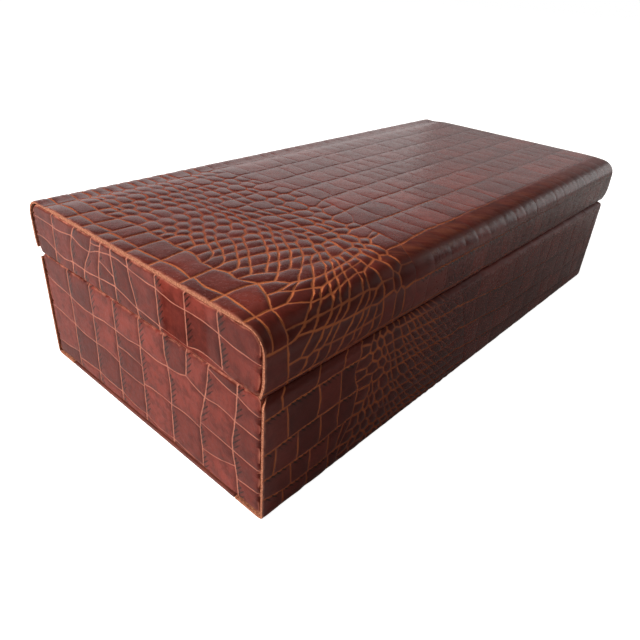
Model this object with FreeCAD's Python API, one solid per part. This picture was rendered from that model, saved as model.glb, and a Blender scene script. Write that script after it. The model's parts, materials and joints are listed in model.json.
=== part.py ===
import FreeCAD
import Part
import math
import os

V = FreeCAD.Vector

# A leather-covered keepsake box with a lid on a long hinge. Millimetres, +X along the box,
# -Y the front, +Y the hinge side, +Z up. The origin is the middle of the underside.

# Outside sizes
base_length = 304.0
base_depth = 148.0
seam_height = 55.0
lid_height = 25.5
lid_overhang = 0.7
seam_gap = 0.3

# Rounded long edges
base_bottom_round = 1.6
base_top_round = 4.0
lid_top_round = 8.0
lid_low_round = 20.0
lid_low_rise = 8.5

# Wooden boards
wall = 7.0
floor_board = 4.0
top_board = 5.0
corner_rabbet = 3.5
board_rabbet = 3.0

# Leather wraps
leather = 1.2
turn_in = 15.0
foot_gap = 0.3
sole_gap = 0.4

# Inset end panels: leather drawn over a card
card = 1.5
panel_leather = 1.0
panel_gap = 0.5
panel_set_back = 0.3
panel_round = 1.3
panel_corner = 2.0

# Inside
lining = 1.6
lining_drop = 0.4
pad = 3.5
pad_gap = 0.3
pad_round = 2.0

# Long hinge
axis_inset = 1.4
barrel_radius = 2.1
barrel_room = 0.3
pin_radius = 1.2
pin_clearance = 0.05
pin_end_chamfer = 0.4
leaf = 1.2
leaf_set_in = 0.2
leaf_seat = 2.0
hinge_margin = 3.3
knuckle_pitch = 26.9
knuckle_gap = 0.2
screw_head_radius = 1.6
screw_shank_radius = 0.85
screw_length = 9.0
screw_point = 1.8
screw_spacing = 54.0
screw_end_margin = 12.0

# Worked out from the above
lid_length = base_length + 2 * lid_overhang
lid_depth = base_depth + 2 * lid_overhang
base_rim = seam_height - seam_gap / 2
lid_rim = seam_height + seam_gap / 2
lid_top = seam_height + lid_height
sole = leather + foot_gap
panel = card + panel_leather
base_board_end = base_length / 2 - panel_set_back - panel
lid_board_end = lid_length / 2 - panel_set_back - panel
inner_x = base_board_end - wall
inner_y = base_depth / 2 - leather - wall
floor_top = sole + floor_board
ceiling = lid_top - leather - top_board
turn_in_end = base_depth / 2 - turn_in
axis_y = base_depth / 2 - axis_inset
leaf_inner = inner_y + leaf_set_in
leaf_outer = axis_y - barrel_radius - barrel_room
knuckle_count = int((base_length - 2 * hinge_margin) / knuckle_pitch + 1e-6)
knuckle_count -= 1 - knuckle_count % 2
hinge_end = knuckle_count * knuckle_pitch / 2
beyond = base_length


# Solids from simple tools

def block(x0, x1, y0, y1, z0, z1):
    return Part.makeBox(x1 - x0, y1 - y0, z1 - z0, V(x0, y0, z0))


def rod(radius, x0, x1, y, z):
    return Part.makeCylinder(radius, x1 - x0, V(x0, y, z), V(1, 0, 0))


def line(start, end):
    return Part.LineSegment(V(0, *start), V(0, *end)).toShape()


def arc(centre, radius, first, last):
    """An arc in the YZ plane, from one angle to another in degrees, 0 along +Y and 90 up."""
    points = []
    for angle in (first, (first + last) / 2, last):
        turn = math.radians(angle)
        points.append(V(0, centre[0] + radius * math.cos(turn), centre[1] + radius * math.sin(turn)))
    return Part.Arc(*points).toShape()


def along(edges, x0, x1):
    """A section in the YZ plane, run along X."""
    face = Part.Face(Part.Wire(edges))
    face.translate(V(x0, 0, 0))
    return face.extrude(V(x1 - x0, 0, 0))


def mirrored(shape):
    return shape.mirror(V(0, 0, 0), V(1, 0, 0))


def clean(shape):
    return shape.removeSplitter()


# Sections of the base and the lid

def rounded_rectangle(half, low, high, low_r, high_r):
    return [
        line((low_r - half, low), (half - low_r, low)),
        arc((half - low_r, low + low_r), low_r, -90, 0),
        line((half, low + low_r), (half, high - high_r)),
        arc((half - high_r, high - high_r), high_r, 0, 90),
        line((half - high_r, high), (high_r - half, high)),
        arc((high_r - half, high - high_r), high_r, 90, 180),
        line((-half, high - high_r), (-half, low + low_r)),
        arc((low_r - half, low + low_r), low_r, 180, 270),
    ]


def base_section(inset):
    return rounded_rectangle(
        base_depth / 2 - inset,
        foot_gap + inset,
        base_rim - inset,
        base_bottom_round - inset,
        base_top_round - inset,
    )


def lid_section(inset, rim_inset):
    """The lid's section: rounded above, with long sides that curve in towards the rim."""
    side = lid_depth / 2 - inset
    top = lid_top - inset
    rim = lid_rim + rim_inset
    top_r = lid_top_round - inset
    low_r = lid_low_round - inset
    low_y = lid_depth / 2 - lid_low_round
    low_z = lid_rim + lid_low_rise
    sweep = math.degrees(math.asin((low_z - rim) / low_r))
    rim_y = low_y + low_r * math.cos(math.radians(sweep))
    return [
        line((-rim_y, rim), (rim_y, rim)),
        arc((low_y, low_z), low_r, -sweep, 0),
        line((side, low_z), (side, top - top_r)),
        arc((side - top_r, top - top_r), top_r, 0, 90),
        line((side - top_r, top), (top_r - side, top)),
        arc((top_r - side, top - top_r), top_r, 90, 180),
        line((-side, top - top_r), (-side, low_z)),
        arc((-low_y, low_z), low_r, 180, 180 + sweep),
    ]


def base_panel_section(inset):
    return rounded_rectangle(
        base_depth / 2 - leather - panel_gap - inset,
        foot_gap + leather + panel_gap + inset,
        base_rim - inset,
        panel_corner - inset,
        panel_corner - inset,
    )


def lid_panel_section(inset):
    return lid_section(leather + panel_gap + inset, inset)


# The long hinge

def knuckle_span(index):
    start = index * knuckle_pitch - hinge_end
    return start + knuckle_gap / 2, start + knuckle_pitch - knuckle_gap / 2


def hinge_leaf(first_knuckle, low):
    """A flat leaf with every second knuckle rolled round the pin."""
    pieces = []
    for index in range(first_knuckle, knuckle_count, 2):
        x0, x1 = knuckle_span(index)
        pieces.append(rod(barrel_radius, x0, x1, axis_y, seam_height))
        pieces.append(block(x0, x1, leaf_outer, axis_y, low, low + leaf))
    plate = block(-hinge_end, hinge_end, leaf_inner, leaf_outer, low, low + leaf)
    bore = rod(pin_radius + pin_clearance, -beyond, beyond, axis_y, seam_height)
    return clean(plate.multiFuse(pieces).cut(bore))


def screw(x, y, z, way):
    """A countersunk wood screw with its head flush at z, pointing up (way 1) or down (way -1)."""
    outline = [
        V(0, 0, 0),
        V(screw_head_radius, 0, 0),
        V(screw_shank_radius, 0, leaf),
        V(screw_shank_radius, 0, screw_length - screw_point),
        V(0, 0, screw_length),
        V(0, 0, 0),
    ]
    body = Part.Face(Part.makePolygon(outline)).revolve(V(0, 0, 0), V(0, 0, 1), 360)
    if way < 0:
        body = body.mirror(V(0, 0, 0), V(0, 0, 1))
    body.translate(V(x, y, z))
    return body


def screw_row(z, way):
    reach = hinge_end - screw_end_margin
    gaps = max(1, round(2 * reach / screw_spacing))
    middle = (leaf_inner + leaf_outer) / 2
    places = [-reach + 2 * reach * step / gaps for step in range(gaps + 1)]
    return Part.makeCompound([screw(x, middle, z, way) for x in places])


def pin():
    body = rod(pin_radius, -hinge_end, hinge_end, axis_y, seam_height)
    ends = [edge for edge in body.Edges if edge.Closed]
    return body.makeChamfer(pin_end_chamfer, ends)


def leaf_room(low, high):
    """The space over the back rim that a leaf takes up."""
    return block(-hinge_end, hinge_end, inner_y, axis_y, low, high)


hinge_base_screws = screw_row(base_rim, -1)
hinge_lid_screws = screw_row(lid_rim, 1)
hinge_base_leaf = hinge_leaf(0, base_rim - leaf).cut(hinge_base_screws)
hinge_lid_leaf = hinge_leaf(1, lid_rim).cut(hinge_lid_screws)
hinge_pin = pin()
barrel_space = rod(
    barrel_radius + barrel_room, -hinge_end - barrel_room, hinge_end + barrel_room, axis_y, seam_height
)


# Wooden boards of the base

def end_board(x_out, low, high):
    reach = inner_y + corner_rabbet
    return block(inner_x, x_out, -reach, reach, low, high)


base_wood = along(base_section(leather), -base_board_end, base_board_end)
base_floor_board = block(
    -inner_x - board_rabbet, inner_x + board_rabbet,
    -inner_y - board_rabbet, inner_y + board_rabbet,
    sole, floor_top,
)
base_right_board = end_board(base_board_end, sole, base_rim - leather).cut(base_floor_board)
base_left_board = mirrored(base_right_board)
base_joinery = [base_floor_board, base_right_board, base_left_board]
front_half = block(-beyond, beyond, -beyond, -inner_y, -beyond, beyond)
back_half = block(-beyond, beyond, inner_y, beyond, -beyond, beyond)
base_front_board = clean(base_wood.common(front_half).cut(base_joinery))


def leaf_bed(low, high):
    """Wood that carries a leaf, as far as the flat of the rim."""
    flat_end = min(leaf_outer, base_depth / 2 - base_top_round)
    return block(-hinge_end, hinge_end, inner_y, flat_end, low, high)


base_back_board = base_wood.common(back_half)
base_back_board = base_back_board.fuse(leaf_bed(base_rim - leather - leaf_seat, base_rim - leaf))
base_back_board = base_back_board.cut([leaf_room(base_rim - leaf, lid_rim), barrel_space, *base_joinery])
base_back_board = clean(base_back_board.cut(hinge_base_screws))


# Wooden tray of the lid

lid_wood = along(lid_section(leather, leather), -lid_board_end, lid_board_end)
lid_top_board = block(
    -inner_x - board_rabbet, inner_x + board_rabbet,
    -inner_y - board_rabbet, inner_y + board_rabbet,
    ceiling, lid_top - leather,
).common(lid_wood)
lid_right_board = end_board(lid_board_end, lid_rim + leather, lid_top - leather)
lid_right_board = lid_right_board.common(lid_wood).cut(lid_top_board)
lid_left_board = mirrored(lid_right_board)
lid_joinery = [lid_top_board, lid_right_board, lid_left_board]
lid_front_rail = clean(lid_wood.common(front_half).cut(lid_joinery))
lid_back_rail = lid_wood.common(back_half)
lid_back_rail = lid_back_rail.fuse(leaf_bed(lid_rim + leaf, lid_rim + leather + leaf_seat))
lid_back_rail = lid_back_rail.cut([leaf_room(base_rim, lid_rim + leaf), barrel_space, *lid_joinery])
lid_back_rail = clean(lid_back_rail.cut(hinge_lid_screws))


# Leather wraps of the base, from the rim down the face and turned in underneath

base_skin = along(base_section(0), -base_length / 2, base_length / 2)
base_skin = base_skin.cut(along(base_section(leather), -beyond, beyond))
base_mouth = block(-beyond, beyond, -inner_y, inner_y, seam_height / 2, beyond)
base_belly = block(-beyond, beyond, -turn_in_end, turn_in_end, -beyond, seam_height / 2)
panel_side = base_depth / 2 - leather
base_right_recess = block(base_board_end, beyond, -panel_side, panel_side, sole, beyond)
base_openings = [base_mouth, base_belly, base_right_recess, mirrored(base_right_recess)]
base_skin = base_skin.cut(base_openings)
base_front_leather = clean(base_skin.common(front_half.fuse(
    block(-beyond, beyond, -inner_y, -turn_in_end, -beyond, seam_height / 2))))
base_back_leather = base_skin.common(back_half.fuse(
    block(-beyond, beyond, turn_in_end, inner_y, -beyond, seam_height / 2)))
hinge_cut = leaf_room(base_rim - leather - barrel_room, lid_rim)
base_back_leather = clean(base_back_leather.cut([hinge_cut, barrel_space]))


# Leather wrap of the lid, one sheet from the front rim over the top to the back rim

lid_skin = along(lid_section(0, 0), -lid_length / 2, lid_length / 2)
lid_skin = lid_skin.cut(along(lid_section(leather, leather), -beyond, beyond))
lid_mouth = block(-beyond, beyond, -inner_y, inner_y, -beyond, ceiling)
lid_right_recess = along(lid_section(leather, -seam_gap), lid_board_end, beyond)
lid_skin = lid_skin.cut([lid_mouth, lid_right_recess, mirrored(lid_right_recess)])
lid_wrap_leather = clean(lid_skin.cut([leaf_room(base_rim, lid_rim + leather), barrel_space]))


# Inset end panels

def panel_card(section, x_in):
    return along(section(panel_leather), x_in, x_in + card)


def panel_cover(section, x_in):
    """Leather over the card's face and edges, with its outer edge rounded."""
    solid = along(section(0), x_in, x_in + panel)
    face_edges = []
    for edge in solid.Edges:
        if all(abs(point.X - x_in - panel) < 1e-6 for point in edge.Vertexes):
            face_edges.append(edge)
    rounded = solid.makeFillet(min(panel_round, 0.9 * panel), face_edges)
    return rounded.cut(panel_card(section, x_in))


def rim_strip(x_out, low):
    """The same leather turned over the end board's rim."""
    return block(inner_x, x_out, -inner_y, inner_y, low, low + leather)


base_right_card = panel_card(base_panel_section, base_board_end)
base_right_leather = panel_cover(base_panel_section, base_board_end)
base_right_leather = clean(base_right_leather.fuse(rim_strip(base_board_end, base_rim - leather)))
lid_right_card = panel_card(lid_panel_section, lid_board_end)
lid_right_leather = panel_cover(lid_panel_section, lid_board_end)
lid_right_leather = clean(lid_right_leather.fuse(rim_strip(lid_board_end, lid_rim)))


# Lined inside

def side_lining(low, high):
    return block(-inner_x, inner_x, -inner_y, lining - inner_y, low, high)


def end_lining(low, high):
    return block(inner_x - lining, inner_x, lining - inner_y, inner_y - lining, low, high)


def to_back(shape):
    return shape.mirror(V(0, 0, 0), V(0, 1, 0))


def soft_pad(low, crown):
    """A thin pad that fills the inside, with its edges rounded on the side that shows."""
    x = inner_x - lining - pad_gap
    y = inner_y - lining - pad_gap
    body = block(-x, x, -y, y, low, low + pad)
    edges = [edge for edge in body.Edges if all(abs(p.Z - crown) < 1e-6 for p in edge.Vertexes)]
    return body.makeFillet(min(pad_round, 0.9 * pad), edges)


base_front_lining = side_lining(floor_top, base_rim - lining_drop)
base_right_lining = end_lining(floor_top, base_rim - lining_drop)
lid_front_lining = side_lining(lid_rim + lining_drop, ceiling)
lid_right_lining = end_lining(lid_rim + lining_drop, ceiling)
base_floor_pad = soft_pad(floor_top, floor_top + pad)
lid_top_pad = soft_pad(ceiling - pad, ceiling - pad)


# Plain leather that the box stands on, between the two turn-ins and out to both ends

sole_y = turn_in_end - sole_gap
underside_leather = block(-base_length / 2, base_length / 2, -sole_y, sole_y, 0, sole)


nodes = {
    "base_front_board": base_front_board,
    "base_back_board": base_back_board,
    "base_left_board": base_left_board,
    "base_right_board": base_right_board,
    "base_floor_board": base_floor_board,
    "base_front_leather": base_front_leather,
    "base_back_leather": base_back_leather,
    "base_left_card": mirrored(base_right_card),
    "base_right_card": base_right_card,
    "base_left_leather": mirrored(base_right_leather),
    "base_right_leather": base_right_leather,
    "base_front_lining": base_front_lining,
    "base_back_lining": to_back(base_front_lining),
    "base_left_lining": mirrored(base_right_lining),
    "base_right_lining": base_right_lining,
    "base_floor_pad": base_floor_pad,
    "underside_leather": underside_leather,
    "hinge_base_leaf": hinge_base_leaf,
    "hinge_pin": hinge_pin,
    "hinge_base_screws": hinge_base_screws,
    "lid_front_rail": lid_front_rail,
    "lid_back_rail": lid_back_rail,
    "lid_left_board": lid_left_board,
    "lid_right_board": lid_right_board,
    "lid_top_board": lid_top_board,
    "lid_wrap_leather": lid_wrap_leather,
    "lid_left_card": mirrored(lid_right_card),
    "lid_right_card": lid_right_card,
    "lid_left_leather": mirrored(lid_right_leather),
    "lid_right_leather": lid_right_leather,
    "lid_front_lining": lid_front_lining,
    "lid_back_lining": to_back(lid_front_lining),
    "lid_left_lining": mirrored(lid_right_lining),
    "lid_right_lining": lid_right_lining,
    "lid_top_pad": lid_top_pad,
    "hinge_lid_leaf": hinge_lid_leaf,
    "hinge_lid_screws": hinge_lid_screws,
}

os.makedirs("parts", exist_ok=True)
for name, shape in nodes.items():
    shape.exportStep(os.path.join("parts", name + ".step"))
    print(name, "solids", len(shape.Solids), "valid", shape.isValid(), "volume", round(shape.Volume, 1))
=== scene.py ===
# %% [markdown]
# A low keepsake box covered in crocodile-embossed leather. The solids come first: they are the
# fixed frame, and every piece made below sits on them. Their box is kept.

# %% Load the solids
import json
import math
import random

import bpy
import numpy as np
from mathutils import Matrix, Vector, noise


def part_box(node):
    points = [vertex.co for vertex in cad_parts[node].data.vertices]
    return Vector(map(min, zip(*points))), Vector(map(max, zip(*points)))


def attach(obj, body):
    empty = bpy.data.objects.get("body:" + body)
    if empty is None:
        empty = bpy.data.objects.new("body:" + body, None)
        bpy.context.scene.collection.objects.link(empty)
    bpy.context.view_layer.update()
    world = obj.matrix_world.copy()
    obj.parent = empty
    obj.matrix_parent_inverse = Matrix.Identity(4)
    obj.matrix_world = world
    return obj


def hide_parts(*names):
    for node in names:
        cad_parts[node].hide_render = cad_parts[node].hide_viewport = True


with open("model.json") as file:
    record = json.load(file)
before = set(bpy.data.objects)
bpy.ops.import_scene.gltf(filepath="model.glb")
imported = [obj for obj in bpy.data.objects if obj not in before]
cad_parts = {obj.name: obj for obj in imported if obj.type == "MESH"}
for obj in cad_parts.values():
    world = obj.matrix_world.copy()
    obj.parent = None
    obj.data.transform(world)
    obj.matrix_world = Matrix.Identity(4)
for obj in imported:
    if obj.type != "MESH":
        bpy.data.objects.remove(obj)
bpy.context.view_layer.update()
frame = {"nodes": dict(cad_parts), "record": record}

mm = 0.001


def box_mm(node):
    low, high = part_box(node)
    return np.array(low) / mm, np.array(high) / mm


lid_low, lid_high = box_mm("lid_wrap_leather")
base_low, base_high = box_mm("base_front_leather")
print("nodes", len(frame["nodes"]), "lid", (lid_high - lid_low).round(1), "base ends at", base_high[0])

# %% [markdown]
# The photograph was taken close to the near corner of the box, a little above the lid, so the
# far end looks small. A real lens is used rather than a flat view: its place, heading and tilt
# were fitted to the outline of the box in the picture.

# %% Camera
camera_spot = Vector((-0.25094, -0.17639, 0.17053))
camera_heading = 0.69531
camera_dip = 0.53687
camera_roll = 0.07595
camera_lens = 32.6

ahead = Vector((
    math.cos(camera_dip) * math.cos(camera_heading),
    math.cos(camera_dip) * math.sin(camera_heading),
    -math.sin(camera_dip),
))
level_right = ahead.cross(Vector((0, 0, 1))).normalized()
level_up = level_right.cross(ahead)
camera_right = level_right * math.cos(camera_roll) + level_up * math.sin(camera_roll)
camera_up = level_up * math.cos(camera_roll) - level_right * math.sin(camera_roll)
camera_turn = Matrix((camera_right, camera_up, -ahead)).transposed()
camera_data = bpy.data.cameras.new("camera")
camera_data.lens = camera_lens
camera_data.sensor_width = 36.0
camera_data.clip_start = 0.01
camera = bpy.data.objects.new("camera", camera_data)
camera.matrix_world = Matrix.Translation(camera_spot) @ camera_turn.to_4x4()
bpy.context.scene.collection.objects.link(camera)
bpy.context.scene.camera = camera
bpy.context.scene.view_settings.view_transform = "Standard"
print("camera", camera_lens, "mm lens at", tuple(round(v, 3) for v in camera_spot))

# %% [markdown]
# Every finish below is a small graph of shader nodes. Two helpers keep those graphs short: one
# adds a node and fills or links its inputs, the other starts a material with its Principled
# shader. A value that is the same all over is set straight on the shader.

# %% Node helpers


def add_node(tree, kind, inputs=None, **settings):
    made = tree.nodes.new("ShaderNode" + kind)
    for key, value in settings.items():
        setattr(made, key, value)
    for key, value in (inputs or {}).items():
        if isinstance(value, bpy.types.NodeSocket):
            tree.links.new(value, made.inputs[key])
        else:
            made.inputs[key].default_value = value
    return made


def new_finish(name):
    material = bpy.data.materials.new(name)
    material.use_nodes = True
    tree = material.node_tree
    return material, tree, tree.nodes["Principled BSDF"]


def mark(tree, name, kind="Fac"):
    return add_node(tree, "Attribute", attribute_name=name).outputs[kind]


def noise_node(tree, vector, scale, detail=2.0, roughness=0.5):
    values = {"Vector": vector, "Scale": scale, "Detail": detail, "Roughness": roughness}
    return add_node(tree, "TexNoise", values).outputs["Fac"]


def blend_colour(tree, share, first, second, way="MIX"):
    made = add_node(tree, "Mix", data_type="RGBA", blend_type=way)
    for socket, value in ((made.inputs[0], share), (made.inputs[6], first), (made.inputs[7], second)):
        if isinstance(value, bpy.types.NodeSocket):
            tree.links.new(value, socket)
        elif socket.type == "RGBA":
            socket.default_value = (*value, 1.0)
        else:
            socket.default_value = value
    return made.outputs[2]


def calculate(tree, way, first, second=0.0, third=0.0):
    made = add_node(tree, "Math", operation=way)
    for socket, value in zip(made.inputs, (first, second, third)):
        if isinstance(value, bpy.types.NodeSocket):
            tree.links.new(value, socket)
        else:
            socket.default_value = value
    return made.outputs[0]


def ramp_between(tree, value, low, high, to_low=0.0, to_high=1.0):
    inputs = {"Value": value, "From Min": low, "From Max": high, "To Min": to_low, "To Max": to_high}
    return add_node(tree, "MapRange", inputs, interpolation_type="SMOOTHSTEP").outputs["Result"]


# %% [markdown]
# The light is soft. The key lamp stands low behind the left end, which is the brightest face, so
# the shadow falls towards the front and the front stays deep and dark. Glossy leather mirrors its
# lamps, and one strong lamp would leave a hard white patch on the lid. So the key lamp lights the
# leather but is kept out of its reflections, and a wide, weak panel behind it is mirrored instead.
# Three pale panels behind and on the right give the lid its grey sheen. Two weak lamps lift the
# front.

# %% Lamps


def soft_lamp(name, spot, aim, size, power, colour=(1.0, 1.0, 1.0)):
    data = bpy.data.lights.new(name, "AREA")
    data.shape = "RECTANGLE"
    data.size, data.size_y = size
    data.energy = power
    data.color = colour
    lamp = bpy.data.objects.new(name, data)
    lamp.location = spot
    lamp.rotation_euler = (Vector(aim) - Vector(spot)).to_track_quat("-Z", "Y").to_euler()
    lamp.visible_camera = False
    bpy.context.scene.collection.objects.link(lamp)
    return lamp


warm_white = (1.0, 0.96, 0.92)
key_lamp = soft_lamp("key_lamp", (-1.05, 0.95, 0.64), (-0.08, 0.0, 0.05), (0.9, 0.7), 50.0, warm_white)
key_lamp.visible_glossy = False
soft_lamp("left_panel", (-1.45, 1.35, 0.72), (0.0, 0.0, 0.08), (1.7, 1.1), 14.0, warm_white)
soft_lamp("back_panel", (1.26, 1.80, 0.48), (0.0, 0.0, 0.12), (2.0, 1.08), 5.8)
soft_lamp("side_panel", (2.16, 0.42, 0.54), (0.0, 0.0, 0.12), (1.5, 1.16), 2.7)
soft_lamp("corner_panel", (2.09, -0.68, 0.50), (0.0, 0.0, 0.10), (0.95, 1.0), 3.7)
soft_lamp("front_fill", (-1.15, -1.10, 1.00), (0.0, 0.0, 0.03), (1.2, 0.8), 1.0, (1.0, 0.95, 0.90))
soft_lamp("right_lamp", (0.75, -0.60, 0.90), (0.35, -0.25, 0.0), (0.6, 0.6), 1.8, (1.0, 0.89, 0.78))

# %% [markdown]
# The ground of the picture is white. A white world would light the box from all sides and wash it
# out, so the world asks what kind of ray it meets: white for the camera, dim for reflections, and
# a little brighter for the light that fills the shadows.

# %% World
world = bpy.data.worlds.new("studio")
world.use_nodes = True
bpy.context.scene.world = world
world_tree = world.node_tree
seen_white = 1.0
room_light = 0.10
room_gloss = 0.05
ray = add_node(world_tree, "LightPath")
shown_in = calculate(world_tree, "MAXIMUM", ray.outputs["Is Glossy Ray"], ray.outputs["Is Transmission Ray"])
strength = calculate(world_tree, "MULTIPLY_ADD", shown_in, room_gloss - room_light, room_light)
strength = calculate(world_tree, "MULTIPLY_ADD", ray.outputs["Is Camera Ray"], seen_white - room_light,
                     strength)
world_tree.links.new(strength, world_tree.nodes["Background"].inputs["Strength"])
world_tree.nodes["Background"].inputs["Color"].default_value = (1, 1, 1, 1)
print("world", seen_white, "for the camera,", room_gloss, "in reflections,", room_light, "as light")

# %% [markdown]
# The box stands on pale paper. It is lifted to white in the same way, for the camera alone, and not
# quite all the way, so that the shadow under the box is left.

# %% Floor
floor_mesh = bpy.data.meshes.new("floor")
floor_half = 6.0
floor_mesh.from_pydata(
    [(-floor_half, -floor_half, 0), (floor_half, -floor_half, 0),
     (floor_half, floor_half, 0), (-floor_half, floor_half, 0)], [], [(0, 1, 2, 3)])
floor = bpy.data.objects.new("floor", floor_mesh)
bpy.context.scene.collection.objects.link(floor)
floor_paper, tree, shader = new_finish("floor_paper")
shader.inputs["Base Color"].default_value = (0.60, 0.60, 0.60, 1)
shader.inputs["Roughness"].default_value = 0.9
shader.inputs["Specular IOR Level"].default_value = 0.1
ray = add_node(tree, "LightPath")
lift = add_node(tree, "Emission", {"Color": (1, 1, 1, 1)})
shadow_left = 0.94
tree.links.new(calculate(tree, "MULTIPLY", ray.outputs["Is Camera Ray"], shadow_left),
               lift.inputs["Strength"])
both = add_node(tree, "AddShader")
tree.links.new(shader.outputs[0], both.inputs[0])
tree.links.new(lift.outputs[0], both.inputs[1])
tree.links.new(both.outputs[0], tree.nodes["Material Output"].inputs["Surface"])
floor_mesh.materials.append(floor_paper)
print("floor", 2 * floor_half, "m wide")

# %% [markdown]
# A leather cover is a flat sheet that is bent round the box. The pattern is easier to think of
# on the flat sheet, so each sheet has two coordinates in millimetres: s runs along the sheet and
# t across it. Here is the bending: a section of the box is drawn as a line of (y, z) points, and
# a function then lays any (s, t) on that line, raised or sunk along the way out of the box.

# %% From the flat sheet to the box
fold_ease = 1.0
line_step = 0.1


def arc(centre, radius, first, last):
    turns = np.radians(np.linspace(first, last, 61))
    return np.column_stack((centre[0] + radius * np.cos(turns), centre[1] + radius * np.sin(turns)))


def run_lengths(line):
    return np.r_[0, np.cumsum(np.hypot(*np.diff(line, axis=0).T))]


def fold_line(*runs):
    """Even points along runs of (y, z), with sharp corners eased as thick leather eases them."""
    rough = np.vstack(runs)
    rough = rough[np.r_[True, np.hypot(*np.diff(rough, axis=0).T) > 1e-9]]
    far = run_lengths(rough)
    even = np.linspace(0, far[-1], int(far[-1] / line_step) + 1)
    line = np.column_stack([np.interp(even, far, rough[:, k]) for k in (0, 1)])
    reach = int(fold_ease / line_step / 2)
    steps = np.arange(1, reach + 1)[:, None]
    head = line[0] - steps[::-1] * (line[1] - line[0])
    tail = line[-1] + steps * (line[-1] - line[-2])
    longer = np.vstack((head, line, tail))
    window = np.ones(2 * reach + 1) / (2 * reach + 1)
    return np.column_stack([np.convolve(longer[:, k], window, "valid") for k in (0, 1)])


def wrap_on(line, length, draw_in):
    """A function that lays sheet points on the line; draw_in narrows the sheet's ends."""
    far = run_lengths(line)
    way = np.gradient(line, axis=0)
    way /= np.linalg.norm(way, axis=1)[:, None]

    def place(s, t, rise):
        y = np.interp(t, far, line[:, 0])
        z = np.interp(t, far, line[:, 1])
        out_y = -np.interp(t, far, way[:, 1])
        out_z = np.interp(t, far, way[:, 0])
        x = (s - length / 2) * (1 - 2 * draw_in(y, z) / length)
        return np.column_stack((x, y + out_y * rise, z + out_z * rise))

    return place, far[-1]


lid_top_round = 8.0
lid_low_round = 20.0
lid_low_rise = 8.5
base_bottom_round = 1.6
base_top_round = 4.0
hinge_room = 2.5
rim_draw = 2.9

lid_side, lid_rim, lid_top = lid_high[1], lid_low[2], lid_high[2]
base_side, base_foot, base_rim = -base_low[1], base_low[2], base_high[2]
turn_in_y = -base_high[1]
inner_y = -box_mm("base_front_lining")[0][1]
hinge_y, hinge_z = np.array(frame["record"]["behaviour"]["joints"][0]["pos_m"][1:]) / mm


def base_draw(y, z):
    """The rim of a base sheet is cut back at its ends, where the end panels turn over."""
    return np.where(z > base_rim - 8, np.interp(np.abs(y), [72.5, 73.3], [rim_draw, 0]), 0)


def lid_draw(y, z):
    return np.where(z < lid_rim + 8, np.interp(np.abs(y), [71.2, 72.2], [rim_draw, 0]), 0)


def clear_of_hinge(line):
    """The part of a line that keeps off the hinge's barrel."""
    return line[np.hypot(line[:, 0] - hinge_y, line[:, 1] - hinge_z) > hinge_room]


low_sweep = math.degrees(math.asin(lid_low_rise / lid_low_round))
low_centre = (lid_side - lid_low_round, lid_rim + lid_low_rise)
top_centre = (lid_side - lid_top_round, lid_top - lid_top_round)
lid_front_half = np.vstack((
    [(-inner_y, lid_rim)],
    arc((-low_centre[0], low_centre[1]), lid_low_round, 180 + low_sweep, 180),
    arc((-top_centre[0], top_centre[1]), lid_top_round, 180, 90),
))
lid_back_half = (lid_front_half * (-1, 1))[::-1]
lid_line = clear_of_hinge(fold_line(lid_front_half, lid_back_half[:-1]))
base_front_line = fold_line(
    [(-turn_in_y, base_foot)],
    arc((base_bottom_round - base_side, base_foot + base_bottom_round), base_bottom_round, 270, 180),
    arc((base_top_round - base_side, base_rim - base_top_round), base_top_round, 180, 90),
    [(-inner_y, base_rim)],
)
base_back_line = clear_of_hinge((base_front_line * (-1, 1))[::-1])
below_hinge = np.argmax(np.hypot(*np.diff(base_back_line, axis=0).T) > 1) + 1
base_back_line = base_back_line[below_hinge:]
lid_length = lid_high[0] - lid_low[0]
base_length = base_high[0] - base_low[0]
print("sheet widths",
      [round(run_lengths(line)[-1], 1) for line in (lid_line, base_front_line, base_back_line)])

# %% [markdown]
# Crocodile embossing is a net of grooves. On this hide long grooves run in rows along the sheet,
# and short cross grooves cut each row into scales, as courses of bricks do. A row may hold square
# tiles at one end, small scales in the middle, where the rows split, and long belly plates at the
# other end. So a sheet is laid out in zones, each with the row lines that run through it.

# %% Lines and borders
border_step = 1.8
line_ease = 4.0


def through(*spots):
    """A softly bent line through (s, t) spots, as a function of s."""
    places, heights = zip(*spots)
    around = np.linspace(-line_ease, line_ease, 7)
    return lambda s: float(np.interp(s + around, places, heights).mean())


def border_at(*spots):
    """An end of a zone, as s for a given t."""
    heights, places = zip(*spots)
    return lambda t: float(np.interp(t, heights, places))


def filled(places):
    """The same places with others between them, so that no step is longer than the border step."""
    runs = [np.linspace(p, q, max(1, math.ceil((q - p) / border_step)), endpoint=False)
            for p, q in zip(places, places[1:])]
    return np.r_[np.concatenate(runs), places[-1]]


def where_it_meets(border, line, span):
    s = border(line(sum(span) / 2))
    for _ in range(24):
        s = (s + border(line(s))) / 2
    return s


# %% [markdown]
# The net is a set of cells, and neighbours have to share every point of the groove between them,
# or the sheet would crack open there. So each row line keeps a list of all the groove ends that
# meet it, from above and from below, and every cell along the line uses those same points.

# %% Cells between the lines


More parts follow.
